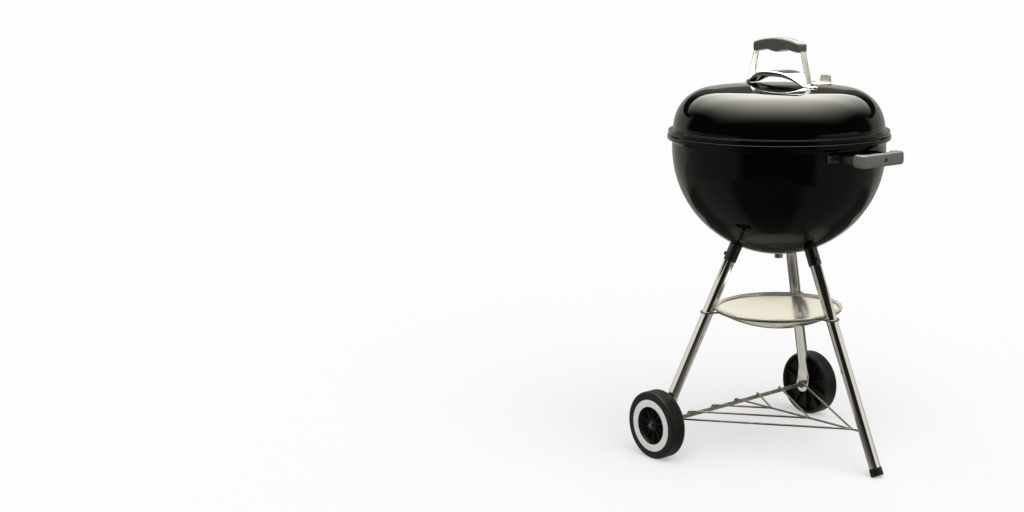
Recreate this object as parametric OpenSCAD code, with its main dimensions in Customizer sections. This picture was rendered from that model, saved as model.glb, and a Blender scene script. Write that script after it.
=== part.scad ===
// Kettle charcoal grill on a three-legged stand with two wheels.
// Millimetres, +Z up. The origin lies on the floor, under the middle of the
// footprint box. The kettle's own axis stands kettle_y behind it.

/* [Bowl] */
// Outer radius of the bowl
bowl_r = 236.5; // [210:0.5:250]
// Thickness of the enamelled sheet steel
sheet_t = 1.2; // [0.8:0.1:1.6]
// Height of the lid's seat above the floor
seat_z = 718; // [660:1:760]
// Height of the lid's seat above the middle of the bowl's sphere
wall_h = 28.5; // [22:0.5:36]
// How far the rim stands out from the bowl's wall
rim_reach = 10.5; // [9:0.5:13]
// Height of the lip that the lid drops over
lip_h = 8; // [4:0.5:9]
// Play between the lip and the lid's skirt, on the radius
lip_play = 4.5; // [2:0.5:5]

/* [Lid] */
// Height of the lid's crown above its seat
lid_rise = 112; // [108:1:140]
// Radius of the lid's round shoulder
shoulder_r = 88.5; // [60:0.5:91]
// How much narrower the lid's dome is than the bowl, on the radius
lid_step = 2.7; // [1:0.1:4]
// Height of the lid's flange, from its seat to its wall
flange_h = 15; // [14:0.5:17]

/* [Lid handle] */
// Length of the grip
grip_len = 146; // [130:1:170]
// Width of the grip
grip_w = 28; // [22:1:34]
// Height of the grip's crest above the lid's crown
grip_rise = 101; // [85:1:115]
// Distance of each foot from the middle of the lid
foot_y = 97; // [88:1:105]
// Width of the steel bracket
strap_w = 16; // [12:1:20]
// Thickness of the steel bracket
strap_t = 2.5; // [2:0.1:3]
// Width of the heat shield in the middle
shield_w = 64; // [50:1:76]
// Rise of the heat shield above its ends
shield_rise = 30; // [24:1:34]
// Thickness of the heat shield
shield_t = 1; // [0.8:0.1:1.4]

/* [Lid damper] */
// Distance of the damper's middle from the middle of the lid
damper_x = 108; // [100:1:112]
// Radius of the damper disc
damper_r = 43; // [38:0.5:46]
// Thickness of the damper disc
damper_t = 1.2; // [0.8:0.1:1.6]
// Radius of each air hole
air_r = 8.5; // [6:0.5:9]
// Distance of the air holes from the damper's middle
air_pitch_r = 25; // [23:0.5:28]
// How far the damper turns, in degrees
damper_turn = 45; // [30:1:45]

/* [Bowl handle] */
// How far the handle's front stands from the kettle's axis
handle_reach = 311; // [300:1:325]
// Width of the handle over its arms
handle_w = 132; // [120:1:150]
// Height of the handle
handle_h = 27; // [22:1:30]
// Depth of the handle's bar, front to back
handle_d = 20; // [16:1:22]
// Length of the handle's arms behind the bar
handle_arm = 16; // [10:1:20]

/* [Stand] */
// Outer diameter of each leg
leg_d = 25.4; // [22:0.1:28]
// Wall of the leg tube
leg_wall = 1.2; // [0.8:0.1:2]
// Slope of the legs from upright, in degrees
leg_slope = 23.44; // [21:0.02:25]
// Height above the bowl's middle at which the three leg lines meet
leg_aim = 10.8; // [5:0.1:20]
// Wall of each leg socket
socket_wall = 1.5; // [1.2:0.1:3]
// How far each leg socket reaches past the bowl, along the leg
socket_reach = 38.4; // [34:0.1:52]
// Length of the front leg's cap
cap_len = 18; // [14:1:24]

/* [Wheels] */
// Diameter of each wheel
wheel_d = 153; // [130:1:170]
// Width of each wheel
wheel_w = 38; // [30:1:44]
// Diameter of the axle
axle_d = 9.5; // [8:0.1:11]
// Outer radius of the light ring on each wheel
ring_r = 58.7; // [54:0.1:60]
// Width of the light ring
ring_w = 15.7; // [10:0.1:17]

/* [Rack and ash catcher] */
// Diameter of the rack's wires
rack_wire = 4.5; // [3.5:0.1:6]
// Distance between the rack's hooks along the axle
rack_pitch = 74; // [60:1:78]
// Height at which the rack meets the front leg
rack_front_z = 91.5; // [86:0.5:100]
// Height of the ash catcher's rim
pan_z = 330; // [300:1:350]
// Depth of the ash catcher
pan_depth = 43; // [30:1:50]
// Thickness of the ash catcher
pan_t = 1; // [0.8:0.1:1.5]
// Diameter of the wire ring that holds the ash catcher
ring_wire = 4; // [3:0.1:5]

/* [Grates] */
// Gap between the cooking grate's edge and the bowl
grate_play = 13; // [10:0.05:20]
// Depth of the cooking grate below the lid's seat
grate_drop = 46; // [40:1:56]
// Diameter of the cooking grate's rods
grate_rod = 4; // [3:0.1:5]
// Distance between the cooking grate's rods
grate_pitch = 15.5; // [13:0.1:24]
// Diameter of the charcoal grate
coal_d = 343; // [320:1:360]
// Diameter of the charcoal grate's rods
coal_rod = 5; // [4:0.1:6]
// Distance between the charcoal grate's rods
coal_pitch = 21; // [18:0.5:30]

/* [Bottom vents] */
// Inner radius of the bottom vents
vent_in = 38; // [32:1:46]
// Outer radius of the bottom vents
vent_out = 92; // [80:1:98]
// Width of each bottom vent, in degrees
vent_angle = 26; // [16:1:30]
// How far the sweeper turns, in degrees
sweep_turn = 60; // [45:1:60]
// Length of the sweeper's lever
lever_len = 150; // [130:1:170]

/* [Clearances] */
// Gap between pieces that rest on each other
rest_gap = 0.3; // [0.2:0.05:0.4]
// Running clearance of shafts in their holes, on the radius
run_gap = 0.05; // [0.02:0.01:0.1]
// Clearance around fasteners, on the radius
hole_gap = 0.2; // [0.1:0.05:0.4]

/* [Hidden] */
$fn = 96;

enamel = "#101010";
steel = "#c9c9c4";
nylon = "#5c5e58";
black = "#1c1c1c";

// ---- the kettle's main lines ----
rim_r = bowl_r + rim_reach;
bowl_z = seat_z - wall_h;
bowl_in_r = bowl_r - sheet_t;
flange_r = rim_r - 0.5;
lip_r = flange_r - sheet_t - lip_play;
lid_r = bowl_r - lid_step;
lid_z = seat_z + rest_gap;
lid_wall_z = seat_z + flange_h;
lid_top_z = seat_z + lid_rise;

// The crown is the one arc that is level in the middle and runs smoothly into the shoulder.
shoulder_x = lid_r - shoulder_r;
dome_h = lid_top_z - lid_wall_z;
crown_r = (dome_h * dome_h + shoulder_x * shoulder_x - shoulder_r * shoulder_r)
    / (2 * (dome_h - shoulder_r));
crown_z = lid_top_z - crown_r;
crown_angle = atan2(shoulder_x, lid_wall_z - crown_z);

// ---- the stand's main lines ----
leg_r = leg_d / 2;
leg_top_z = bowl_z + leg_aim;
LEG_FRONT = -90;
LEG_LEFT = 150;
LEG_RIGHT = 30;
// each leg with the turn of its socket screw away from the leg's outer side
SCREWS = [[LEG_FRONT, 30], [LEG_LEFT, 30], [LEG_RIGHT, -30]];
leg_half = leg_r / cos(leg_slope);
leg_end_gap = 3;
axle_r = axle_d / 2;
axle_z = wheel_d / 2;
axle_y = leg_out(axle_z) * sin(LEG_RIGHT);
crimp_h = 58;
crimp_z = axle_z + crimp_h;
crimp_w = 38;
crimp_flat = 21;
crimp_step = 0.25;
crimp_t = 2.9 * leg_wall;
wheel_gap = 3.2;
leg_half_x = norm([leg_half * cos(LEG_RIGHT), leg_r * sin(LEG_RIGHT)]);
wheel_x = leg_out(crimp_z) * cos(LEG_RIGHT) + leg_half_x + wheel_gap;
boss_len = 4.9;
crimp_x = wheel_x - boss_len - rest_gap - crimp_t / 2;
screw_up = 12;
// along each leg's line, from where the three lines meet to the bowl
leg_to_bowl = leg_aim * cos(leg_slope) + sqrt(bowl_r * bowl_r - pow(leg_aim * sin(leg_slope), 2));
socket_z = leg_top_z - (leg_to_bowl + socket_reach) * cos(leg_slope);
screw_r = 2.5;
screw_reach = 5;
screw_head_r = 4.2;
screw_head_h = 3;
socket_len = 60;
socket_in_r = leg_r + hole_gap;
socket_out_r = socket_in_r + socket_wall;
cap_wall = 1.4;
cap_floor = 3;
cap_in_r = leg_r + 0.15;
cap_out_r = cap_in_r + cap_wall;
cap_mid_z = 0.45 * cap_out_r * sin(leg_slope);
foot_reach = leg_out(cap_mid_z) + cap_out_r * cos(leg_slope);
kettle_y = (max(handle_reach, foot_reach) - rim_r) / 2;

// ---- lid fittings ----
shield_end = 12;
bolt_r = 3;
damper_tilt = asin(damper_x / crown_r);
tab_x = damper_r - 3;
tab_w = 30;
tab_h = 17;
tab_t = 7;
tab_lift = 3;
blade_w = 18;
rivet_head_r = 6;
rivet_head_h = 2;
foot_tilt = asin(foot_y / crown_r);
foot_z = crown_z + sqrt(crown_r * crown_r - foot_y * foot_y);
grip_top_z = lid_top_z + grip_rise;
grip_sag = 12;
// height of the grip's crest above its finger side, with the depth and number of the waves there
grip_h = 29.4;
grip_wave = 2.3;
grip_waves = 2.21;
grip_corner = 11;
strap_drop = 15;
strap_corner_y = grip_len / 2 - 7;
strap_bend = 5;
strap_toe = 11;
strap_heel = 8;
bolt_reach = 9;
bolt_head_h = 3;
bolt_head_r = 5.5;
nut_size_r = 5.8;
nut_size_h = 5;

hook_w = 12;
hook_t = 2;
hook_reach = 30;

// ---- sweeper ----
shaft_r = 4;
sweep_t = 1.5;
sweep_gap = 0.4;
sweep_margin = 4;
lever_w = 14;
lever_t = 2;
lever_flat = 45;
lever_rise = 0.31;
lever_bend = 30;
knob_w = 22;
knob_len = 26;
knob_h = 8;
lever_z = bowl_z - bowl_r - 2 * rest_gap - lever_t;
lever_tip_z = lever_z + lever_rise * (lever_len - lever_flat);
shaft_head_r = 9;
shaft_head_h = 3;
sweep_hub_r = 16;
nut_h = 9;
nut_w = 17;
LEVER_REST = 90 - sweep_turn / 2;

// ---- rack and ash catcher ----
// where the outer, middle and inner V meet the middle wire, as shares of its length
APEX = [0.942, 0.615, 0.31];
// how far each eye of the rack goes round the axle, in degrees
rack_eye = 250;
// radius of the ball of weld where wires meet, in wire radii, and of the one at each eye
rack_weld = 1.5;
eye_weld = 1.1;
bead_r = 2;
pan_play = 2.2;
pan_r = leg_out(pan_z) - leg_half - pan_play;
dish_r = pan_r - 6;
ring_wire_r = ring_wire / 2;
ash_ring_z = pan_z - bead_r - ring_wire_r - rest_gap;
ash_ring_r = pan_r - 3;

// ---- grates ----
grate_wire_r = 3;
grate_z = seat_z - grate_drop;
grate_d = 2 * (sqrt(bowl_in_r * bowl_in_r - pow(bowl_z - grate_z, 2)) - grate_play);
grate_loop = 34;
bracket_t = 2.5;
bracket_in = 8;
coal_ring_r = coal_d / 2 - grate_wire_r;
coal_z = bowl_z - sqrt(pow(bowl_in_r - rest_gap - grate_wire_r, 2) - coal_ring_r * coal_ring_r);

// ---- bowl handle ----
handle_z = bowl_z;
handle_bar_t = 3;
handle_bar_h = 16;
handle_arm_w = 18;
handle_screw_r = 2;
handle_corner = 15;
handle_in_corner = 9;
handle_sink_r = 4.5;
handle_sink = 3;
handle_head_r = 4;
handle_head_h = 1.8;

// Distance of a leg's centre line from the kettle's axis at height z
function leg_out(z) = (bowl_z + leg_aim - z) * tan(leg_slope);
// Points along an arc about [x, y]
function arc(x, y, r, from, to, n) =
    [for (i = [0:n]) let (a = from + (to - from) * i / n) [x + r * cos(a), y + r * sin(a)]];
function unit(v) = v / norm(v);
function left_of(v) = [-v[1], v[0]];
// Step that moves corner i of a path sideways so that both its segments move by 1
function miter(p, i) =
    let (
        a = left_of(unit(p[max(i, 1)] - p[max(i, 1) - 1])),
        b = left_of(unit(p[min(i + 1, len(p) - 1)] - p[min(i, len(p) - 2)])),
        m = unit(a + b)
    ) m / (m * a);
// Outline of a strip of thickness t that lies to the left of a path
function strip(p, t) = concat(p, [for (i = [len(p) - 1:-1:0]) p[i] + t * miter(p, i)]);
// The same strip for turning about the axis, with no point past the axis
function shell(p, t) = [for (q = strip(p, t)) [max(0, q[0]), q[1]]];
// Path with its inner corners rounded to radius r
function rounded(p, r, n = 6) = [
    for (i = [0:len(p) - 1])
        if (i == 0 || i == len(p) - 1) p[i]
        else each bend(p[i - 1], p[i], p[i + 1], r, n)
];
// Arc of radius r that rounds the corner b between a and c
function bend(a, b, c, r, n) =
    let (
        u = unit(a - b), v = unit(c - b), m = unit(u + v),
        half = acos(u * v) / 2, o = b + m * (r / sin(half)),
        s = b + u * (r / tan(half)) - o, e = b + v * (r / tan(half)) - o,
        t = atan2(s[1], s[0]), w = atan2(e[1], e[0]) - t,
        turn = w > 180 ? w - 360 : w < -180 ? w + 360 : w
    ) [for (k = [0:n]) o + r * [cos(t + turn * k / n), sin(t + turn * k / n)]];

// Everything is drawn about the kettle's axis, then moved to its place.
module at_kettle() { translate([0, kettle_y, 0]) children(); }
// Round bar from p to q
module rod(p, q, r) {
    d = q - p;
    translate(p) rotate([0, acos(d[2] / norm(d)), atan2(d[1], d[0])]) cylinder(h = norm(d), r = r);
}
// Stands a child on the lid's crown, dist from the middle in direction az
module on_crown(dist, az) {
    translate([0, 0, crown_z]) rotate([0, 0, az]) rotate([0, asin(dist / crown_r), 0])
        translate([0, 0, crown_r]) children();
}
// Lays a child along a leg, with its origin where the leg's line is at height z
module on_leg(az, z) {
    rotate([0, 0, az]) translate([leg_out(z), 0, z]) rotate([0, -leg_slope, 0]) children();
}
// Points a child along a socket's screw, from the leg's centre line outwards
module on_screw(s) {
    on_leg(s[0], socket_z) translate([0, 0, screw_up]) rotate([0, 90, 0]) rotate([s[1], 0, 0]) children();
}
// Turns a profile drawn in [radius, x] about the wheel's axle; side is 1 or -1
module on_axle(side) { translate([0, axle_y, axle_z]) rotate([0, side * 90, 0]) children(); }
// Extrudes an outline drawn in [y, z] across x
module across(w) {
    rotate([90, 0, 90]) translate([0, 0, -w / 2]) linear_extrude(w) children();
}

// ---------------- bowl ----------------
function bowl_path() = concat(
    arc(0, bowl_z, bowl_r, -90, 0, 30),
    [
        [bowl_r, seat_z - 15], [bowl_r + 0.75 * rim_reach, seat_z - 9], [rim_r, seat_z - 6.5],
        [rim_r, seat_z - 1.5], [rim_r - 1.5, seat_z], [lip_r, seat_z], [lip_r, seat_z + lip_h]
    ]
);

module vent_sector(from, to, angle, h) {
    rotate([0, 0, -angle / 2]) rotate_extrude(angle = angle) translate([from, 0]) square([to - from, h]);
}

module bowl() {
    color(enamel) at_kettle() difference() {
        rotate_extrude() polygon(shell(bowl_path(), sheet_t));
        for (az = [30:120:270]) rotate([0, 0, az])
            translate([0, 0, bowl_z - bowl_r - 1]) vent_sector(vent_in, vent_out, vent_angle, 30);
        translate([0, 0, bowl_z - bowl_r - 5]) cylinder(h = 10, r = shaft_r + run_gap);
    }
}

module grate_brackets() {
    top = grate_z - grate_wire_r - rest_gap;
    wall = sqrt(pow(bowl_in_r, 2) - pow(bowl_z - top + bracket_t, 2)) - rest_gap;
    color(steel) at_kettle() for (az = [45:90:315]) rotate([0, 0, az])
        translate([0, 0, top - bracket_t])
            vent_sector(grate_d / 2 - bracket_in, wall, 4, bracket_t);
}

module leg_sockets() {
    color(black) at_kettle() difference() {
        for (az = [LEG_FRONT, LEG_LEFT, LEG_RIGHT]) on_leg(az, socket_z) difference() {
            cylinder(h = socket_len, r = socket_out_r);
            translate([0, 0, -1]) cylinder(h = socket_len + 2, r = socket_in_r);
        }
        for (s = SCREWS) on_screw(s) cylinder(h = 2 * leg_r, r = screw_r + hole_gap);
        translate([0, 0, bowl_z]) sphere(r = bowl_r + rest_gap, $fn = 128);
    }
}

module leg_screws() {
    head = socket_out_r + rest_gap;
    color(black) at_kettle() for (s = SCREWS) on_screw(s) {
        translate([0, 0, leg_r - screw_reach]) cylinder(h = head - leg_r + screw_reach, r = screw_r);
        translate([0, 0, head]) cylinder(h = screw_head_h, r = screw_head_r);
    }
}

// ---------------- bowl handle ----------------
handle_mid_x = handle_w / 2 - handle_arm_w / 2;
handle_mid_y = handle_reach - handle_d / 2;

module handle_loop_outline(t) {
    polygon(strip(rounded([
        [-handle_mid_x - t / 2, -bowl_r * 0.8], [-handle_mid_x - t / 2, -handle_mid_y - t / 2],
        [handle_mid_x + t / 2, -handle_mid_y - t / 2], [handle_mid_x + t / 2, -bowl_r * 0.8]
    ], 6 + t), t));
}

module bowl_handle_bracket() {
    color(black) at_kettle() difference() {
        translate([0, 0, handle_z - handle_bar_h / 2])
            linear_extrude(handle_bar_h) handle_loop_outline(handle_bar_t);
        translate([0, 0, bowl_z - wall_h]) cylinder(h = 2 * wall_h, r = bowl_r + rest_gap);
        translate([0, -handle_mid_y + 10, handle_z]) rotate([90, 0, 0])
            cylinder(h = 20, r = handle_screw_r + hole_gap);
    }
}

module bowl_handle_grip() {
    outer = handle_w / 2;
    front = handle_reach;
    inner = outer - handle_arm_w;
    back = front - handle_d;
    end = back - handle_arm;
    color(nylon) at_kettle() difference() {
        translate([0, 0, handle_z - handle_h / 2]) linear_extrude(handle_h) polygon(concat(
            rounded([[outer, -end], [outer, -front], [-outer, -front], [-outer, -end]], handle_corner),
            rounded([[-inner, -end], [-inner, -back], [inner, -back], [inner, -end]], handle_in_corner)
        ));
        translate([0, 0, handle_z - handle_bar_h / 2 - rest_gap])
            linear_extrude(handle_bar_h + 2 * rest_gap) handle_loop_outline(handle_bar_t + 2 * rest_gap);
        translate([0, -front, handle_z]) rotate([-90, 0, 0]) {
            translate([0, 0, -1]) cylinder(h = handle_sink + 1, r = handle_sink_r);
            cylinder(h = handle_d / 2 + 5, r = handle_screw_r + hole_gap);
        }
    }
}

module bowl_handle_screw() {
    color(black) at_kettle() translate([0, handle_sink - rest_gap - handle_reach, handle_z])
        rotate([-90, 0, 0]) {
            translate([0, 0, -handle_head_h]) cylinder(h = handle_head_h, r = handle_head_r);
            cylinder(h = handle_d / 2, r = handle_screw_r);
        }
}

// ---------------- grates ----------------
// Ring of round wire with parallel rods across it
module grate(ring, wire, rod_d, pitch) {
    rows = floor((ring - wire) / pitch);
    rotate_extrude() translate([ring, 0]) circle(r = wire, $fn = 36);
    for (i = [-rows:rows]) let (half = sqrt(ring * ring - pow(i * pitch, 2)))
        rod([-half, i * pitch, 0], [half, i * pitch, 0], rod_d / 2, $fn = 36);
}

module cooking_grate() {
    ring = grate_d / 2 - grate_wire_r;
    color(steel) at_kettle() translate([0, 0, grate_z]) {
        grate(ring, grate_wire_r, grate_rod, grate_pitch);
        for (side = [-1, 1]) translate([side * sqrt(ring * ring - grate_loop * grate_loop), 0, 0])
            rotate([90, 0, 90]) rotate_extrude(angle = 180) translate([grate_loop, 0])
                circle(r = grate_rod / 2, $fn = 36);
    }
}

module charcoal_grate() {
    color(steel) at_kettle() translate([0, 0, coal_z])
        grate(coal_ring_r, grate_wire_r, coal_rod, coal_pitch);
}

// ---------------- sweeper ----------------
module sweeper() {
    outer = bowl_in_r - sweep_gap;
    tip = asin((vent_out + sweep_margin) / outer);
    hub = asin(sweep_hub_r / outer);
    color(steel) at_kettle() difference() {
        union() {
            rotate_extrude() polygon(shell(arc(0, bowl_z, outer, -90, -90 + hub, 3), sweep_t));
            for (az = [30:120:270]) rotate([0, 0, az - vent_angle / 2 - sweep_margin])
                rotate_extrude(angle = vent_angle + 2 * sweep_margin)
                    polygon(shell(arc(0, bowl_z, outer, -90 + hub / 2, -90 + tip, 12), sweep_t));
        }
        translate([0, 0, bowl_z - bowl_r]) cylinder(h = 10, r = shaft_r + run_gap);
    }
}

module sweeper_shaft() {
    head = bowl_z - bowl_in_r + sweep_gap + sweep_t + rest_gap;
    foot = lever_z - rest_gap - nut_h - 1;
    color(steel) at_kettle() {
        translate([0, 0, foot]) cylinder(h = head - foot, r = shaft_r);
        translate([0, 0, head]) cylinder(h = shaft_head_h, r = shaft_head_r);
    }
}

module sweeper_nut() {
    color(steel) at_kettle() translate([0, 0, lever_z - rest_gap - nut_h]) difference() {
        cylinder(h = nut_h, r = nut_w / 2 / cos(30), $fn = 6);
        translate([0, 0, -1]) cylinder(h = nut_h + 2, r = shaft_r + run_gap);
    }
}

function lever_path(from) = rounded([
    [from, lever_z], [lever_flat, lever_z], [lever_len, lever_tip_z]
], lever_bend);

module sweeper_lever() {
    color(steel) at_kettle() rotate([0, 0, LEVER_REST - 90]) difference() {
        across(lever_w) polygon(strip(lever_path(-10), lever_t));
        translate([0, 0, lever_z - 5]) cylinder(h = 10, r = shaft_r + run_gap);
    }
}

module sweeper_knob() {
    color(black) at_kettle() rotate([0, 0, LEVER_REST - 90])
        translate([0, lever_len, lever_tip_z]) rotate([atan(lever_rise), 0, 0]) difference() {
            translate([0, 4, lever_t / 2 - knob_h / 2]) {
                translate([-knob_w / 2, -knob_len, 0]) cube([knob_w, knob_len, knob_h]);
                cylinder(h = knob_h, r = knob_w / 2);
            }
            translate([-lever_w / 2 - rest_gap, 3 - knob_len, -rest_gap])
                cube([lever_w + 2 * rest_gap, knob_len - 2, lever_t + 2 * rest_gap]);
        }
}

// ---------------- lid ----------------
function lid_path() = concat(
    [
        [flange_r, lid_z], [flange_r, lid_z + flange_h - 7], [flange_r - 1, lid_z + flange_h - 4.6],
        [flange_r - 4, lid_z + flange_h - 2.6], [lid_r + 2.2, lid_z + flange_h - 1.2]
    ],
    arc(shoulder_x, lid_wall_z, shoulder_r, 0, 90 - crown_angle, 24),
    arc(0, crown_z, crown_r, 90 - 0.8 * crown_angle, 90, 5)
);

module lid() {
    color(enamel) at_kettle() difference() {
        rotate_extrude() polygon(shell(lid_path(), sheet_t));
        on_crown(damper_x, 0) {
            for (a = [0:90:270]) rotate([0, 0, a + 45]) translate([air_pitch_r, 0, -10])
                cylinder(h = 20, r = air_r);
            translate([0, 0, -10]) cylinder(h = 20, r = bolt_r + run_gap);
        }
        for (az = [-90, 90]) on_crown(foot_y, az)
            translate([0, 0, -10]) cylinder(h = 20, r = bolt_r + hole_gap);
    }
}

// A strip that lies on the lid's inner wall and ends in an open hook
module lid_hook() {
    in_r = shoulder_r - sheet_t - rest_gap;
    low = [shoulder_x + in_r * cos(14), lid_wall_z + in_r * sin(14) - 3];
    color(steel) at_kettle() rotate([0, 0, 45])
        across(hook_w) polygon(strip(concat(
            arc(shoulder_x, lid_wall_z, in_r, 36, 16, 6),
            rounded([low, low - [14, 14], low - [hook_reach, 3]], 6)
        ), -hook_t));
}

// Underside of a foot at distance y, on the plane that touches the crown at foot_y
function foot_line(y, above) = [y, foot_z + above / cos(foot_tilt) - (y - foot_y) * tan(foot_tilt)];

function strap_path() =
    let (
        above = rest_gap + shield_t,
        top = grip_top_z - strap_drop,
        half = [
            foot_line(foot_y + strap_toe, above), foot_line(foot_y - strap_heel, above),
            [strap_corner_y, top]
        ]
    ) rounded(concat(half, [for (i = [2:-1:0]) [-half[i][0], half[i][1]]]), strap_bend);

module lid_handle_bracket() {
    color(steel) at_kettle() difference() {
        across(strap_w) polygon(strip(strap_path(), -strap_t));
        for (az = [-90, 90]) on_crown(foot_y, az)
            translate([0, 0, -5]) cylinder(h = 12, r = bolt_r + hole_gap);
    }
}

// Side view of the grip: an arched back over a wavy finger side
module grip_outline() {
    half = grip_len / 2;
    back_r = (half * half + grip_sag * grip_sag) / (2 * grip_sag);
    span = asin(half / back_r);
    polygon(concat(
        arc(0, grip_top_z - back_r, back_r, 90 - span, 90 + span, 24),
        [for (i = [0:24]) let (y = -half + i * grip_len / 24)
            [y, grip_top_z - grip_h - grip_wave * cos(360 * y * grip_waves / grip_len)]]
    ));
}

module lid_handle_grip() {
    half = grip_len / 2;
    side = grip_w / 2;
    color(nylon) at_kettle() difference() {
        intersection() {
            across(grip_w) grip_outline();
            translate([0, 0, grip_top_z - 60]) linear_extrude(80) polygon(rounded([
                [0, -half], [side, -half], [side, half], [-side, half], [-side, -half], [0, -half]
            ], grip_corner));
        }
        for (t = [-strap_t - rest_gap, rest_gap])
            across(strap_w + 2 * rest_gap) polygon(strip(strap_path(), t));
    }
}

module lid_handle_bolts() {
    head = rest_gap + shield_t + strap_t + rest_gap;
    color(steel) at_kettle() for (az = [-90, 90]) on_crown(foot_y, az) {
        translate([0, 0, -bolt_reach]) cylinder(h = head + bolt_reach, r = bolt_r);
        translate([0, 0, head]) cylinder(h = bolt_head_h, r = bolt_head_r);
    }
}

module lid_handle_nuts() {
    color(steel) at_kettle() for (az = [-90, 90]) on_crown(foot_y, az)
        translate([0, 0, -sheet_t - rest_gap - nut_size_h]) difference() {
            cylinder(h = nut_size_h, r = nut_size_r, $fn = 6);
            translate([0, 0, -1]) cylinder(h = nut_size_h + 2, r = bolt_r + run_gap);
        }
}

// Half width of the heat shield at distance y: broad in the middle, narrow at its feet
function shield_half(y) =
    strap_w / 2 + 1 + (shield_w - strap_w - 2) / 2 * pow(cos(90 * min(1, abs(y) / foot_y)), 0.8);

module heat_shield() {
    end = foot_y - shield_end;
    low = foot_line(end, rest_gap)[1];
    arch_r = (end * end + shield_rise * shield_rise) / (2 * shield_rise);
    span = asin(end / arch_r);
    path = concat(
        [foot_line(foot_y + shield_end, rest_gap)],
        arc(0, low + shield_rise - arch_r, arch_r, 90 - span, 90 + span, 24),
        [[-foot_y - shield_end, foot_line(foot_y + shield_end, rest_gap)[1]]]
    );
    steps = 24;
    reach = foot_y + shield_end;
    color(steel) at_kettle() difference() {
        intersection() {
            across(shield_w + 2) polygon(strip(path, -shield_t));
            translate([0, 0, foot_z - 20]) linear_extrude(shield_rise + 60) polygon(concat(
                [for (i = [0:steps]) let (y = -reach + 2 * reach * i / steps) [shield_half(y), y]],
                [for (i = [steps:-1:0]) let (y = -reach + 2 * reach * i / steps) [-shield_half(y), y]]
            ));
        }
        for (az = [-90, 90]) on_crown(foot_y, az)
            translate([0, 0, -5]) cylinder(h = 12, r = bolt_r + hole_gap);
    }
}

// ---------------- lid damper ----------------
// The disc is a slice of a sphere about the crown's own centre, so it stays flush as it turns.
module damper_disc() {
    low = crown_r + rest_gap;
    edge = asin(damper_r / low);
    color(steel) at_kettle() on_crown(damper_x, 0) difference() {
        union() {
            rotate_extrude() polygon(shell(arc(0, -crown_r, low, 90 - edge, 90, 6), -damper_t));
            translate([tab_x - damper_t / 2, -blade_w / 2, 0]) cube([damper_t, blade_w, tab_h]);
        }
        for (a = [0:90:270]) rotate([0, 0, a + 45]) translate([air_pitch_r, 0, -10])
            cylinder(h = 20, r = air_r);
        translate([0, 0, -10]) cylinder(h = 20, r = bolt_r + run_gap);
        translate([tab_x - damper_t, -blade_w / 2 - 1, -20]) cube([3 * damper_t, blade_w + 2, 20]);
    }
}

// The tab's cover is a little narrower at its top, and slides over the disc's blade.
module damper_tab() {
    half = tab_w / 2;
    room = damper_t / 2 + rest_gap;
    color(nylon) at_kettle() on_crown(damper_x, 0) translate([tab_x, 0, tab_lift]) difference() {
        across(tab_t) polygon([
            [-half, 0], [half, 0], [half + 0.5, 3], [half - 2, tab_h - 2], [half - 5, tab_h],
            [5 - half, tab_h], [2 - half, tab_h - 2], [-half - 0.5, 3]
        ]);
        translate([-room, -blade_w / 2 - rest_gap, -1])
            cube([2 * room, blade_w + 2 * rest_gap, tab_h - 2 + rest_gap]);
    }
}

module damper_rivet() {
    head = rest_gap + damper_t + rest_gap;
    low = -sheet_t - rest_gap - rivet_head_h;
    color(steel) at_kettle() on_crown(damper_x, 0) {
        translate([0, 0, low]) cylinder(h = head - low, r = bolt_r);
        for (z = [head, low]) translate([0, 0, z]) cylinder(h = rivet_head_h, r = rivet_head_r);
    }
}

// ---------------- legs ----------------
module leg_tube(az, from_z) {
    len = (leg_top_z - from_z) / cos(leg_slope);
    on_leg(az, from_z) difference() {
        cylinder(h = len, r = leg_r);
        translate([0, 0, -1]) cylinder(h = len + 2, r = leg_r - leg_wall);
    }
}
module bowl_room() { translate([0, 0, bowl_z]) sphere(r = bowl_r + leg_end_gap, $fn = 128); }
module screw_hole(s) { on_screw(s) cylinder(h = 2 * leg_r, r = screw_r + hole_gap); }

leg_low_z = cap_mid_z + cap_floor * cos(leg_slope);
rack_hole_r = rack_wire / 2 + 0.4;

module leg_front() {
    color(steel) at_kettle() difference() {
        leg_tube(LEG_FRONT, leg_low_z);
        bowl_room();
        screw_hole(SCREWS[0]);
        translate([0, -leg_out(rack_front_z), rack_front_z]) rotate([-90, 0, 0])
            cylinder(h = 2 * leg_r, r = rack_hole_r);
    }
}

// Places a child at the axle, upright along the leg as seen from the side
module at_crimp() {
    translate([crimp_x, axle_y, axle_z])
        rotate([atan2(axle_y - leg_out(crimp_z) * sin(LEG_RIGHT), crimp_h), 0, 0]) children();
}
// A wheel leg is pressed flat at its foot, where the axle goes through it.
module wheel_leg() {
    difference() {
        union() {
            difference() {
                leg_tube(LEG_RIGHT, crimp_z);
                bowl_room();
                screw_hole(SCREWS[2]);
            }
            hull() {
                on_leg(LEG_RIGHT, crimp_z) translate([0, 0, -0.5])
                    cylinder(h = 1, r = leg_r + crimp_step, $fn = 32);
                at_crimp() translate([0, 0, crimp_flat]) cube([crimp_t, crimp_w, 1], center = true);
            }
            at_crimp() {
                translate([0, 0, crimp_flat / 2])
                    cube([crimp_t - crimp_step, crimp_w - crimp_step, crimp_flat], center = true);
                rotate([0, 90, 0])
                    cylinder(h = crimp_t - crimp_step, r = (crimp_w - crimp_step) / 2, center = true);
            }
        }
        translate([crimp_x, axle_y, axle_z]) rotate([0, 90, 0])
            cylinder(h = 4 * leg_d, r = axle_r + run_gap, center = true);
    }
}
module leg_right() { color(steel) at_kettle() wheel_leg(); }
module leg_left() { color(steel) at_kettle() mirror([1, 0, 0]) wheel_leg(); }

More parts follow.
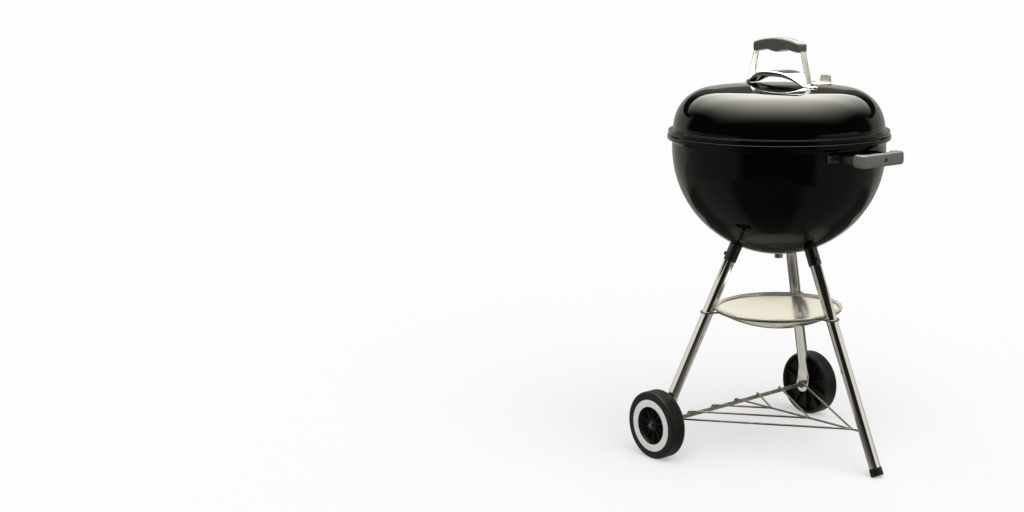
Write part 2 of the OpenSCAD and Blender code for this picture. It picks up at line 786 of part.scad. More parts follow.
module leg_cap() {
    color(black) at_kettle() difference() {
        on_leg(LEG_FRONT, cap_mid_z) difference() {
            cylinder(h = cap_len, r = cap_out_r);
            translate([0, 0, cap_floor]) cylinder(h = cap_len, r = cap_in_r);
        }
        translate([0, -leg_out(0), -2 * cap_out_r]) cube(4 * cap_out_r, center = true);
    }
}

// ---------------- wheels ----------------
hub_r = 13;
hub_face = 5;
push_nut_t = 3;
push_nut_r = 8;
spoke_t = 2.4;
axle_tip = 3;
axle_half = wheel_x + wheel_w - hub_face + rest_gap + push_nut_t + axle_tip;
ring_depth = 1;
web_t = 4;
well_r = ring_r - ring_w;

module axle() {
    color(steel) at_kettle() translate([0, axle_y, axle_z]) rotate([0, 90, 0])
        cylinder(h = 2 * axle_half, r = axle_r, center = true);
}

module axle_push_nuts() {
    color(black) at_kettle() for (side = [-1, 1]) on_axle(side)
        translate([0, 0, wheel_x + wheel_w - hub_face + rest_gap]) difference() {
            cylinder(h = push_nut_t, r = push_nut_r);
            translate([0, 0, -1]) cylinder(h = push_nut_t + 2, r = axle_r + run_gap);
        }
}

// Profile of the tyre and rim in [radius, distance from the inner face]
function tyre_profile() =
    let (r = wheel_d / 2, w = wheel_w, groove = 1.5, n = 3, pitch = w / (n + 2)) concat(
        [[well_r - 2, 3]], [[well_r, 0]], arc(r - 6, 6, 6, -90, 0, 4),
        [for (i = [1:n]) each [
            [r, i * pitch + pitch / 2 - groove / 2], [r - groove, i * pitch + pitch / 2 - groove / 2],
            [r - groove, i * pitch + pitch / 2 + groove / 2], [r, i * pitch + pitch / 2 + groove / 2]
        ]],
        arc(r - 6, w - 6, 6, 0, 90, 4),
        [
            [ring_r + rest_gap, w], [ring_r + rest_gap, w - ring_depth], [well_r - 1, w - ring_depth],
            [well_r - 4, w - 6]
        ]
    );

module wheel(side) {
    color(black) at_kettle() on_axle(side) translate([0, 0, wheel_x]) difference() {
        union() {
            rotate_extrude() polygon(tyre_profile());
            translate([0, 0, wheel_w / 2 - web_t / 2]) cylinder(h = web_t, r = well_r);
            translate([0, 0, -boss_len]) cylinder(h = wheel_w + boss_len - hub_face, r = hub_r);
            for (a = [0:36:324]) rotate([0, 0, a])
                translate([0, -spoke_t / 2, 4]) cube([well_r, spoke_t, wheel_w - 12]);
        }
        translate([0, 0, -boss_len - 1]) cylinder(h = wheel_w + boss_len + 2, r = axle_r + run_gap);
    }
}
module wheel_left() { wheel(-1); }
module wheel_right() { wheel(1); }

module wheel_ring(side) {
    color("#d8d8d2") at_kettle() on_axle(side)
        translate([0, 0, wheel_x + wheel_w - ring_depth]) difference() {
            cylinder(h = ring_depth, r = ring_r);
            translate([0, 0, -1]) cylinder(h = ring_depth + 2, r = well_r);
        }
}
module wheel_ring_left() { wheel_ring(-1); }
module wheel_ring_right() { wheel_ring(1); }

// ---------------- bottom rack ----------------
// Each wire passes over the axle and turns down behind it. The outer wire ends in open eyes
// round the axle, and the middle one is plugged into the front leg.
module bottom_rack() {
    r = rack_wire / 2;
    wrap = axle_r + r + rest_gap;
    back = axle_y + wrap;
    tip = -(leg_out(rack_front_z) - leg_half);
    rise = (rack_front_z - axle_z - wrap) / (tip - back);
    eye_x = crimp_x - crimp_t / 2 - r - rest_gap;
    weld = rack_weld * r;
    // point of the rack's sloping plane at x, and at a share s of the way to the front leg
    function on_rack(x, s) = let (y = back + s * (tip - back)) [x, y, axle_z + wrap + rise * (y - back)];
    color(steel) at_kettle() {
        rod(on_rack(0, 0), on_rack(0, 1.015), r, $fn = 36);
        for (v = [[2, APEX[1]], [1, APEX[2]]], side = [-1, 1])
            rod(on_rack(side * v[0] * rack_pitch, 0), on_rack(0, v[1]), r, $fn = 36);
        for (x = [-2:2]) {
            translate(on_rack(x * rack_pitch, 0)) rotate([0, -90, 0]) sphere(r = weld, $fn = 36);
            rod(on_rack(x * rack_pitch, 0), on_rack(x * rack_pitch, 0) - [0, 0, wrap], r, $fn = 36);
        }
        for (side = [-1, 1]) {
            rod([side * eye_x, axle_y, axle_z - wrap], on_rack(0, APEX[0]), r, $fn = 36);
            translate([side * eye_x, axle_y, axle_z - wrap]) rotate([0, 0, 90 - side * 105])
                sphere(r = eye_weld * r, $fn = 36);
            translate([side * eye_x, axle_y, axle_z]) rotate([0, 90, 0])
                rotate_extrude(angle = rack_eye) translate([wrap, 0]) circle(r = r, $fn = 36);
        }
        for (s = APEX) translate(on_rack(0, s)) rotate([0, -90, 0]) sphere(r = weld, $fn = 36);
    }
}

// ---------------- ash catcher ----------------
module ash_ring() {
    clip_r = leg_half + rest_gap + ring_wire_r;
    inner = sqrt(ash_ring_r * ash_ring_r - clip_r * clip_r);
    out = leg_out(ash_ring_z);
    color(steel) at_kettle() translate([0, 0, ash_ring_z]) {
        rotate_extrude() translate([ash_ring_r, 0]) circle(r = ring_wire_r, $fn = 24);
        for (az = [LEG_FRONT, LEG_LEFT, LEG_RIGHT]) rotate([0, 0, az]) {
            translate([out, 0, 0]) rotate([0, 0, -90]) rotate_extrude(angle = 180)
                translate([clip_r, 0]) circle(r = ring_wire_r, $fn = 24);
            for (side = [-1, 1])
                rod([inner - ring_wire, side * clip_r, 0], [out, side * clip_r, 0], ring_wire_r, $fn = 24);
        }
    }
}

module ash_catcher() {
    dish = (dish_r * dish_r + pan_depth * pan_depth) / (2 * pan_depth);
    span = asin(dish_r / dish);
    low = pan_z - bead_r - pan_depth;
    color(steel) at_kettle() {
        rotate_extrude() polygon(shell(concat(
            arc(0, low + dish, dish, -90, -90 + span, 20),
            [[dish_r + 1.5, pan_z - 1.2], [pan_r - bead_r, pan_z - 0.8]]
        ), pan_t));
        translate([0, 0, pan_z - 0.3]) rotate_extrude() translate([pan_r - bead_r, 0])
            circle(r = bead_r, $fn = 24);
    }
}

bowl();
grate_brackets();
leg_sockets();
leg_screws();
bowl_handle_bracket();
bowl_handle_grip();
bowl_handle_screw();
cooking_grate();
charcoal_grate();
sweeper();
sweeper_shaft();
sweeper_nut();
sweeper_lever();
sweeper_knob();
lid();
lid_hook();
lid_handle_bracket();
lid_handle_grip();
lid_handle_bolts();
lid_handle_nuts();
heat_shield();
damper_disc();
damper_tab();
damper_rivet();
leg_front();
leg_left();
leg_right();
leg_cap();
axle();
axle_push_nuts();
wheel_left();
wheel_right();
wheel_ring_left();
wheel_ring_right();
bottom_rack();
ash_ring();
ash_catcher();
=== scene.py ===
"""Looks of a kettle charcoal grill on a three-legged stand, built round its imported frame.

Lengths are metres in the frame's own axes: +Z up, front leg towards -Y. Every shape is made about
the kettle's own axis, and piece() moves it there: K is the y of that axis. Each surface is worked
out with numpy, as a function of two parameters on a grid, or as a profile carried along a path.
"""

import math

import bmesh
import bpy
import numpy as np
from mathutils import Matrix, Vector


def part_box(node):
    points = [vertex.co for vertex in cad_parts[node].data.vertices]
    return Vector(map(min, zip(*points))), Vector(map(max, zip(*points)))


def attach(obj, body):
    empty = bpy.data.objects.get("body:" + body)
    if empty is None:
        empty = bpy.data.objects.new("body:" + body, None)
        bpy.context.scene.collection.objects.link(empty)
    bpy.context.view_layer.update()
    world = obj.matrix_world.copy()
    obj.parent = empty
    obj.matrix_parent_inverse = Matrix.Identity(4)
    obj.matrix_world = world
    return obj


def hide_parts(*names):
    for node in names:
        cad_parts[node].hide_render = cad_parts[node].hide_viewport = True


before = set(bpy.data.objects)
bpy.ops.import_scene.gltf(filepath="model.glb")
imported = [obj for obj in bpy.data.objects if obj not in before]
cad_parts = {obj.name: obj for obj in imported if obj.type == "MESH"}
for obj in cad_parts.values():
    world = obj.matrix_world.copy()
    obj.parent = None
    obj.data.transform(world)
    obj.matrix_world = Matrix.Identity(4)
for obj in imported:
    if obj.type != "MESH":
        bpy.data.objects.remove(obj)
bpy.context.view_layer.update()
MM = 0.001
UP = np.array([0, 0, 1])


def mm(*sizes):
    """Sizes in millimetres, as metres."""
    return [size * MM for size in sizes]


# Sizes taken from the frame
BOWL_LOW, BOWL_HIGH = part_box("bowl")
LID_LOW, LID_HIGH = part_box("lid")
GRIP_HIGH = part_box("lid_handle_grip")[1]
HANDLE_LOW, HANDLE_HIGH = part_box("bowl_handle_grip")
WHEEL_LOW, WHEEL_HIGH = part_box("wheel_right")
AXLE_LOW, AXLE_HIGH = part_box("axle")
PAN_LOW, PAN_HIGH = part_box("ash_catcher")
CAP_LOW, CAP_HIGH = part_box("leg_cap")

K = (BOWL_LOW.y + BOWL_HIGH.y) / 2
REST_GAP = 0.3 * MM
SHEET = 1.2 * MM

# Bowl: a sphere of radius BOWL_R about height BOWL_Z, a short wall, a rim and a lip
RIM_R = BOWL_HIGH.x
LIP_R = RIM_R - 6.2 * MM
LIP_H = 8 * MM
SEAT_Z = BOWL_HIGH.z - LIP_H
SEAM_Z = SEAT_Z + 2.5 * MM
BOWL_Z = SEAT_Z - 28.5 * MM
BOWL_R = BOWL_Z - BOWL_LOW.z

# Lid: a skirt, a wall, a shoulder of radius SHOULDER_R and a crown that is part of a sphere
LID_R = BOWL_R - 2.7 * MM
LID_WALL_Z = SEAT_Z + 15 * MM
SHOULDER_R = 88.5 * MM
SHOULDER_X = LID_R - SHOULDER_R
DOME_H = LID_HIGH.z - LID_WALL_Z
CROWN_R = (DOME_H**2 + SHOULDER_X**2 - SHOULDER_R**2) / (2 * (DOME_H - SHOULDER_R))
CROWN_Z = LID_HIGH.z - CROWN_R
CROWN_ANGLE = math.atan2(SHOULDER_X, LID_WALL_Z - CROWN_Z)

# Legs: their centre lines meet on the kettle's axis, LEG_LIFT above the middle of the sphere
LEG_R = 12.7 * MM
LEG_LIFT = 10.8 * MM
LEG_TOP_Z = BOWL_Z + LEG_LIFT
SLOPE = math.radians(23.44)
FRONT, LEFT, RIGHT = np.radians([-90, 150, 30])

AXLE_R = (AXLE_HIGH.z - AXLE_LOW.z) / 2
AXLE_Y = (AXLE_LOW.y + AXLE_HIGH.y) / 2 - K
AXLE_Z = (AXLE_LOW.z + AXLE_HIGH.z) / 2


# Shapes as arrays
def step(x, start, end):
    """0 up to start, 1 from end, and 3 t^2 - 2 t^3 between them."""
    t = np.clip((x - start) / (end - start), 0, 1)
    return t * t * (3 - 2 * t)


def unit(v):
    """The vectors at length 1."""
    v = np.asarray(v, float)
    return v / np.linalg.norm(v, axis=-1, keepdims=True)


def outward(azimuth):
    """The level direction at an azimuth in radians."""
    return np.array([math.cos(azimuth), math.sin(azimuth), 0])


def arc(x, y, r, start, end, n):
    """n + 1 points on a circle about [x, y], from angle start to angle end in degrees."""
    a = np.radians(np.linspace(start, end, n + 1))
    return np.stack([x + r * np.cos(a), y + r * np.sin(a)], -1)


def stepped(r, h, *steps):
    """[radius, height] points, each at a step in millimetres from r and h."""
    return [[r + x * MM, h + y * MM] for x, y in steps]


def rounded(path, radius, n=8, closed=False):
    """A polyline with each inner corner replaced by an arc that touches both its sides.

    The arc's centre lies on the corner's bisector at radius / sin(half the corner's angle).
    """
    p = [np.asarray(q, float) for q in path]
    radii = radius if np.ndim(radius) else [radius] * len(p)
    out = []
    for i, (b, r) in enumerate(zip(p, radii)):
        if r <= 0 or (not closed and i in (0, len(p) - 1)):
            out.append(b[None])
            continue
        u, v = unit(p[i - 1] - b), unit(p[(i + 1) % len(p)] - b)
        half = math.acos(float(np.clip(u @ v, -1, 1))) / 2
        if half > math.pi / 2 - 1e-3:
            out.append(b[None])
            continue
        o = b + unit(u + v) * r / math.sin(half)
        s, e = b + u * r / math.tan(half) - o, b + v * r / math.tan(half) - o
        turn = math.pi - 2 * half
        t = np.linspace(0, 1, n + 1)[:, None]
        out.append(o + (np.sin((1 - t) * turn) * s + np.sin(t * turn) * e) / math.sin(turn))
    return np.concatenate(out)


def distances(path):
    """Each point's distance from the first one along a polyline."""
    return np.concatenate([[0], np.cumsum(np.linalg.norm(np.diff(path, axis=0), axis=1))])


def resampled(path, n, closed=False):
    """n points spaced evenly along a polyline."""
    p = np.concatenate([path, path[:1]]) if closed else np.asarray(path, float)
    s = distances(p)
    t = np.linspace(0, s[-1], n, endpoint=not closed)
    return np.stack([np.interp(t, s, p[:, k]) for k in range(p.shape[1])], -1)


def offset(path, t):
    """The path moved sideways by t to its left, so that every side moves by t."""
    d = unit(np.diff(path, axis=0))
    normal = np.stack([-d[:, 1], d[:, 0]], -1)
    a = np.concatenate([normal[:1], normal])
    b = np.concatenate([normal, normal[-1:]])
    m = unit(a + b)
    return path + t * m / np.sum(m * a, -1, keepdims=True)


def grid(points, around=False, along=False):
    """Vertices and quads of a grid of points of shape (rows, columns, 3).

    around joins the last column to the first, and along the last row to the first.
    """
    rows, cols = points.shape[:2]
    i = np.arange(rows if along else rows - 1)[:, None]
    j = np.arange(cols if around else cols - 1)[None, :]
    i2, j2 = (i + 1) % rows, (j + 1) % cols
    quads = np.stack([i * cols + j, i * cols + j2, i2 * cols + j2, i2 * cols + j], -1)
    return points.reshape(-1, 3), quads.reshape(-1, 4)


def capped(points):
    """Rows of points with a row before and after them, drawn in to the middle of its neighbour."""
    ends = [np.broadcast_to(points[k].mean(0), points[k].shape)[None] for k in (0, -1)]
    return np.concatenate([ends[0], points, ends[1]])


def path_frames(path, closed, up):
    """Side and normal at each point of a path.

    Without up, the normal is the one before it made square to the new tangent, so it never twists.
    """
    if closed:
        tangent = unit(np.roll(path, -1, 0) - np.roll(path, 1, 0))
    else:
        tangent = unit(np.gradient(path, axis=0))
    if up is not None:
        side = unit(np.cross(tangent, np.broadcast_to(up, path.shape)))
        return side, np.cross(side, tangent)
    start = np.eye(3)[np.argmin(np.abs(tangent[0]))]
    normals = [unit(start - (start @ tangent[0]) * tangent[0])]
    for t in tangent[1:]:
        normals.append(unit(normals[-1] - (normals[-1] @ t) * t))
    return np.cross(tangent, normals), np.array(normals)


def carry(path, section, closed=False, up=None, scale=None):
    """Carries a closed section of [side, normal] pairs along a path, and closes its ends.

    Point (i, j) is path i + side i * section j's first + normal i * its second, times scale i.
    """
    side, normal = path_frames(path, closed, up)
    k = np.ones((len(path), 2)) if scale is None else scale
    points = (path[:, None] + side[:, None] * (k[:, :1, None] * section[None, :, :1])
              + normal[:, None] * (k[:, 1:, None] * section[None, :, 1:]))
    return grid(points if closed else capped(points), around=True, along=closed)


def wire(path, radius, sides=14, closed=False, tip=0.35):
    """A round wire along a path. Its open ends narrow along a chamfer that is tip radii long."""
    p = np.asarray(path, float)
    section = arc(0, 0, radius, 0, 360 - 360 / sides, sides - 1)
    if closed:
        return carry(p, section, closed=True)
    cut = tip * radius
    first, last = p[0] + cut * unit(p[1] - p[0]), p[-1] + cut * unit(p[-2] - p[-1])
    p = np.concatenate([p[:1], [first], p[1:-1], [last], p[-1:]])
    scale = np.ones((len(p), 2))
    scale[[0, -1]] = 1 - tip
    return carry(p, section, scale=scale)


def rounded_box_section(w, h, r, n=5):
    """Closed outline of a w by h rectangle whose corners are arcs of radius r."""
    x, y = w / 2 - r, h / 2 - r
    return np.concatenate([arc(sx * x, sy * y, r, a, a + 90, n)
                           for sx, sy, a in ((1, 1, 0), (-1, 1, 90), (-1, -1, 180), (1, -1, 270))])


def turned(profile, n):
    """Points of a profile of [radius, height] turned once round z: x = r cos a, y = r sin a."""
    a = np.linspace(-math.pi, math.pi, n, endpoint=False)
    r, h = np.asarray(profile, float).T
    return np.stack([np.outer(r, np.cos(a)), np.outer(r, np.sin(a)), np.outer(h, np.ones(n))], -1)


def lathe(profile, n, loop=True):
    """Surface of a turned profile. With loop, its last point joins its first."""
    return grid(turned(profile, n), around=True, along=loop)


def slab(outline, thick, edge, n):
    """A plate of the given outline, thick along z, with its edges rounded to radius edge.

    Each rounding row is the outline drawn in by edge (1 - cos a) at the height edge (1 - sin a) from
    the face. Both faces close towards the outline's middle.
    """
    a = np.linspace(0, math.pi / 2, n + 1)
    inset = np.concatenate([edge * (1 - np.sin(a)), edge * (1 - np.sin(a[::-1]))])
    height = np.concatenate([edge * (1 - np.cos(a)), thick - edge * (1 - np.cos(a[::-1]))]) - thick / 2
    along = unit(np.roll(outline, -1, 0) - np.roll(outline, 1, 0))
    inward = np.stack([-along[:, 1], along[:, 0]], -1)
    rows = [np.column_stack([outline + d * inward, np.full(len(outline), h)])
            for d, h in zip(inset, height)]
    caps = [np.tile([*outline.mean(0), h], (len(outline), 1)) for h in (-thick / 2, thick / 2)]
    return grid(np.stack([caps[0], *rows, caps[1]]), around=True)


def bored(points, holes):
    """A tube's rows of points with round holes, each [centre, axis, radius, depth].

    The quads near a hole are left out. A patch of the same outline closes the gap: its point (i, j)
    lies a share i of the way from outline point j to the point of the hole's edge in the same
    direction. A hole with a depth also gets a wall and a floor, and the others go right through.
    """
    rows, cols = points.shape[:2]
    verts, quads = grid(points, around=True)
    keep = np.ones((rows - 1, cols), bool)
    margin = 1.3
    patches = []
    for centre, axis, radius, depth in holes:
        centre, axis = np.asarray(centre, float), unit(axis)
        near = np.linalg.norm(points - centre, axis=2) < margin * radius
        i, j = np.nonzero(near.any(1))[0], np.nonzero(near.any(0))[0]
        i0, i1, j0, j1 = i.min() - 1, i.max() + 1, j.min() - 1, j.max() + 1
        keep[i0:i1, j0:j1] = False
        edge = np.concatenate([points[i0, j0:j1], points[i0:i1, j1],
                               points[i1, j0 + 1:j1 + 1][::-1], points[i0 + 1:i1 + 1, j0][::-1]])
        away = edge - centre
        away -= (away @ axis)[:, None] * axis
        ring = centre + radius * unit(away)
        share = np.linspace(0, 1, 4)[:, None, None]
        patch = (1 - share) * edge + share * ring
        if depth:
            middle = np.broadcast_to(centre - depth * axis, ring.shape)
            patch = np.concatenate([patch, (ring - depth * axis)[None], middle[None]])
        patches.append(grid(patch, around=True))
    return [(verts, quads[keep.ravel()])] + patches


# Shapes in their places
def placed(shape, origin, x=(1, 0, 0), y=(0, 1, 0), z=(0, 0, 1)):
    """The shape with its own axes laid along x, y and z, and its origin at origin."""
    verts, quads = shape
    return np.asarray(origin, float) + verts @ np.array([x, y, z], float), quads


def on_crown(shape, dist, azimuth=0.0):
    """The shape stood on the lid's crown, dist from the middle, square to its surface."""
    t, out = math.asin(dist / CROWN_R), outward(math.radians(azimuth))
    up = math.sin(t) * out + math.cos(t) * UP
    along = math.cos(t) * out - math.sin(t) * UP
    return placed(shape, CROWN_Z * UP + CROWN_R * up, along, np.cross(up, along), up)


def leg_out(z):
    """Distance of a leg's centre line from the kettle's axis at height z."""
    return (LEG_TOP_Z - z) * math.tan(SLOPE)


def leg_point(azimuth, z):
    """The point of a leg's centre line at height z."""
    return leg_out(z) * outward(azimuth) + z * UP


def leg_axes(azimuth):
    """A leg's outward, sideways and upward axes."""
    out = outward(azimuth)
    up = math.cos(SLOPE) * UP - math.sin(SLOPE) * out
    along = math.cos(SLOPE) * out + math.sin(SLOPE) * UP
    return along, np.cross(up, along), up


def on_leg(shape, azimuth, z):
    """The shape laid along a leg, with its origin where the leg's centre line is at height z."""
    return placed(shape, leg_point(azimuth, z), *leg_axes(azimuth))


def on_axle(shape, side, out):
    """The shape turned from its own z axis onto the axle, out from the middle; side is 1 or -1."""
    return placed(shape, (side * out, AXLE_Y, AXLE_Z), (0, 0, -side), (0, 1, 0), (side, 0, 0))


def mesh_object(name, verts, quads, material):
    """A new object in the scene, at the origin, with its place in its mesh."""
    mesh = bpy.data.meshes.new(name)
    mesh.from_pydata(verts.tolist(), [], quads.tolist())
    mesh.materials.append(material)
    obj = bpy.data.objects.new(name, mesh)
    bpy.context.scene.collection.objects.link(obj)
    return obj


def piece(name, shapes, body, material, replaces=(), sharp=40, sheet=0.0):
    """One object made of the shapes, riding on a body. Edges over sharp degrees stay hard.

    Closed shapes get faces that point outwards. A sheet's already do, and Solidify thickens it
    inwards.
    """
    verts, quads, start = [], [], 0
    for v, q in [shapes] if isinstance(shapes, tuple) else shapes:
        verts.append(v)
        quads.append(q + start)
        start += len(v)
    obj = mesh_object(name, np.concatenate(verts) + [0, K, 0], np.concatenate(quads), material)
    mesh = obj.data
    bm = bmesh.new()
    bm.from_mesh(mesh)
    bmesh.ops.remove_doubles(bm, verts=bm.verts, dist=2e-7)
    bmesh.ops.dissolve_degenerate(bm, dist=1e-7, edges=bm.edges)
    if not sheet:
        bmesh.ops.recalc_face_normals(bm, faces=bm.faces)
    bm.to_mesh(mesh)
    bm.free()
    mesh.shade_smooth()
    mesh.set_sharp_from_angle(angle=math.radians(sharp))
    if sheet:
        wall = obj.modifiers.new("sheet", "SOLIDIFY")
        wall.thickness = sheet
        wall.offset = -1
        wall.use_even_offset = True
    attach(obj, body)
    if replaces:
        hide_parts(*replaces)


# Finishes
class Tree:
    """The node tree of a material or world."""

    def __init__(self, owner):
        owner.use_nodes = True
        self.nodes, self.links = owner.node_tree.nodes, owner.node_tree.links

    def node(self, kind, inputs=(), **settings):
        """A new node with these settings and inputs."""
        made = self.nodes.new(kind)
        for key, value in settings.items():
            setattr(made, key, value)
        self.fill(made, inputs)
        return made

    def fill(self, node, inputs):
        """Puts a value or a link on each of the inputs."""
        for key, value in dict(inputs).items():
            if isinstance(value, bpy.types.NodeSocket):
                self.links.new(value, node.inputs[key])
            else:
                node.inputs[key].default_value = value


class Finish(Tree):
    """A material on one Principled shader, whose patterns read Object coordinates."""

    def __init__(self, name, colour, rough, metal=0.0, specular=0.5):
        self.mat = bpy.data.materials.new(name)
        self.mat.diffuse_color = (*colour, 1)
        super().__init__(self.mat)
        self.shader = self.nodes["Principled BSDF"]
        self.fill(self.shader, {"Base Color": (*colour, 1), "Roughness": rough, "Metallic": metal,
                                "Specular IOR Level": specular})
        self.place = self.nodes.new("ShaderNodeTexCoord").outputs["Object"]

    def mapping(self, key, value):
        """Object coordinates, stretched or moved along each axis."""
        return self.node("ShaderNodeMapping", {"Vector": self.place, key: value}).outputs[0]

    def noise(self, scale, detail, place=None):
        """Noise of scale waves a metre."""
        return self.node("ShaderNodeTexNoise", {"Vector": place or self.place, "Scale": scale,
                                                "Detail": detail, "Roughness": 0.55}).outputs[0]

    def between(self, value, low, high, start=0.3, end=0.7):
        """A value mapped from start..end to low..high, and held there."""
        return self.node("ShaderNodeMapRange", {"Value": value, "From Min": start, "From Max": end,
                                                "To Min": low, "To Max": high}).outputs[0]

    def colour(self, value, a, b, start=0.3, end=0.7):
        """Colour a up to start, b from end, and a mix of the two between them."""
        share = self.between(value, 0, 1, start, end)
        # A mix node's sockets for colours are 6 and 7, and its colour comes out of 2
        made = self.node("ShaderNodeMix", {0: share, 6: (*a, 1), 7: (*b, 1)}, data_type="RGBA")
        self.fill(self.shader, {"Base Color": made.outputs[2]})

    def roughness(self, value, low, high):
        """Roughness from low to high as the value grows."""
        self.fill(self.shader, {"Roughness": self.between(value, low, high)})

    def bump(self, height, distance):
        """Adds a relief to the ones before it. The distance is in metres."""
        inputs = {"Height": height, "Distance": distance}
        before = self.shader.inputs["Normal"].links
        if before:
            inputs["Normal"] = before[0].from_socket
        self.fill(self.shader, {"Normal": self.node("ShaderNodeBump", inputs).outputs[0]})


def enamel_finish():
    """Glossy black enamel with slow waves and a fine orange peel."""
    f = Finish("black_porcelain_enamel", (0.0014, 0.0012, 0.001), 0.06, specular=0.2)
    f.colour(f.noise(9, 3), (0.001, 0.0008, 0.0006), (0.0022, 0.0019, 0.0016))
    f.roughness(f.noise(26, 4), 0.045, 0.08)
    f.bump(f.noise(55, 2), 6e-5)
    f.bump(f.noise(420, 2), 1.2e-5)
    return f.mat


def chrome_finish(name, tint, rough, stretch=(1, 1, 1)):
    """Plated steel, a little duller in patches, with faint lines along the stretch."""
    f = Finish(name, tint, rough, 1.0)
    lines = f.noise(90, 3, f.mapping("Scale", stretch))
    dull = f.noise(12, 4)
    f.roughness(dull, rough * 0.7, rough * 1.6)
    f.colour(dull, tuple(0.93 * c for c in tint), tint)
    f.bump(lines, 1e-5)
    return f.mat


def wire_finish(name, tint, rough, shade):
    """Plated wire, a little darker in patches."""
    f = Finish(name, tint, rough, 1.0)
    patch = f.noise(60, 5)
    f.colour(patch, tint, shade, 0.35, 0.75)
    f.roughness(patch, rough, rough + 0.18)
    f.bump(f.noise(700, 2), 2e-5)
    return f.mat


def spun_finish(name, tint, rough, spread, metal):
    """Sheet aluminium with fine rings left by spinning: a wave of the distance from the axis."""
    f = Finish(name, tint, rough, metal)
    rings = {"Vector": f.mapping("Location", (0, -K, 0)), "Scale": 90.0, "Distortion": 1.2, "Detail": 2.0}
    f.colour(f.noise(14, 4), tuple(0.95 * c for c in tint), tint)
    f.roughness(f.noise(40, 4), rough, rough + spread)
    f.bump(f.node("ShaderNodeTexWave", rings, wave_type="RINGS", rings_direction="Z").outputs["Fac"], 3e-6)
    return f.mat


def plastic_finish(name, colour, paler, rough, grain, depth, specular=0.5):
    """Moulded plastic with a fine cast grain and slightly uneven colour."""
    f = Finish(name, colour, rough, 0.0, specular)
    f.colour(f.noise(30, 4), colour, paler)
    f.roughness(f.noise(80, 3), rough, rough + 0.1)
    f.bump(f.noise(grain, 3), depth)
    return f.mat


ENAMEL = enamel_finish()
CHROME = chrome_finish("chromed_leg_tube", (0.92, 0.91, 0.88), 0.07, (1, 1, 0.05))
BRIGHT = chrome_finish("bright_plated_steel", (0.86, 0.86, 0.84), 0.1)
STRAP = chrome_finish("brushed_strap_steel", (0.76, 0.75, 0.72), 0.34)
RACK_WIRE = wire_finish("plated_rack_wire", (0.36, 0.34, 0.30), 0.3, (0.2, 0.185, 0.16))
GRATE_WIRE = wire_finish("plated_grate_rod", (0.62, 0.61, 0.58), 0.25, (0.34, 0.32, 0.29))
DULL = wire_finish("aluminised_sheet", (0.5, 0.49, 0.46), 0.38, (0.3, 0.29, 0.27))
ASH = spun_finish("ash_catcher_aluminium", (0.84, 0.81, 0.74), 0.15, 0.03, 0.8)
DAMPER = spun_finish("damper_aluminium", (0.8, 0.8, 0.77), 0.26, 0.1, 1.0)
GREY, PALE_GREY, TAB, BLACK_STEEL, BLACK_PLASTIC, TYRE, RING = (plastic_finish(*row) for row in (
    ("grey_glass_filled_nylon", (0.076, 0.079, 0.068), (0.092, 0.095, 0.083), 0.3, 1400, 2e-5, 0.3),
    ("pale_grey_nylon", (0.112, 0.116, 0.1), (0.132, 0.136, 0.119), 0.3, 1400, 2e-5, 0.4),
    ("tan_grey_plastic", (0.2, 0.185, 0.155), (0.25, 0.23, 0.19), 0.45, 1200, 3e-5),
    ("black_coated_steel", (0.003, 0.003, 0.003), (0.0045, 0.0042, 0.004), 0.12, 420, 1e-6, 0.8),
    ("black_plastic", (0.006, 0.006, 0.006), (0.009, 0.009, 0.0085), 0.3, 900, 1e-5, 0.35),
    ("black_wheel_plastic", (0.0085, 0.0085, 0.008), (0.0125, 0.0125, 0.012), 0.4, 1100, 2e-5, 0.3),
    ("pale_ring_plastic", (0.8, 0.8, 0.77), (0.86, 0.86, 0.83), 0.4, 900, 2e-5),
))

for finish, nodes in (
    (GRATE_WIRE, ("cooking_grate", "charcoal_grate", "grate_brackets")),
    (DULL, ("sweeper", "sweeper_shaft", "sweeper_nut", "sweeper_lever")),
    (BLACK_PLASTIC, ("sweeper_knob", "leg_screws", "bowl_handle_screw")),
    (BRIGHT, ("lid_hook", "lid_handle_bolts", "lid_handle_nuts", "damper_rivet")),
):
    for name in nodes:
        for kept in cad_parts[name].material_slots:
            kept.material = finish

# Bowl and its fittings
SHAFT_R = 4 * MM
VENT_IN, VENT_OUT = mm(38, 92)
VENT_HALF_ANGLE = 13


def bowl():
    """The lower shell: a sphere, a short wall, a rolled rim and the lip that the lid drops over.

    One profile is turned in steps of a degree, so that grid lines fall on the sides of the vents,
    whose quads are left out. Solidify gives the sheet its thickness.
    """
    low, inner, outer = (-math.degrees(math.acos(r / BOWL_R)) for r in (SHAFT_R, VENT_IN, VENT_OUT))
    sphere = np.concatenate([arc(0, BOWL_Z, BOWL_R, low, inner, 6)[:-1],
                             arc(0, BOWL_Z, BOWL_R, inner, outer, 8)[:-1],
                             arc(0, BOWL_Z, BOWL_R, outer, 0, 44)])
    rim = rounded([[BOWL_R, BOWL_Z], [BOWL_R, SEAT_Z - 13 * MM], [RIM_R, SEAT_Z - 6.5 * MM],
                   [RIM_R, SEAM_Z], [LIP_R, SEAM_Z], [LIP_R, SEAT_Z + LIP_H]],
                  mm(0, 5, 3.2, 1.8, 1.4, 0), 7)
    profile = np.concatenate([sphere, rim[1:]])
    verts, quads = grid(turned(profile, 360), around=True)
    middle = (profile[:-1, 0] + profile[1:, 0]) / 2
    rows = (middle > VENT_IN) & (middle < VENT_OUT)
    turn = np.arange(360)[:, None] - 179.5
    cols = (np.abs(turn - [-90, 30, 150]) < VENT_HALF_ANGLE).any(1)
    return verts, quads[~(rows[:, None] & cols).ravel()]


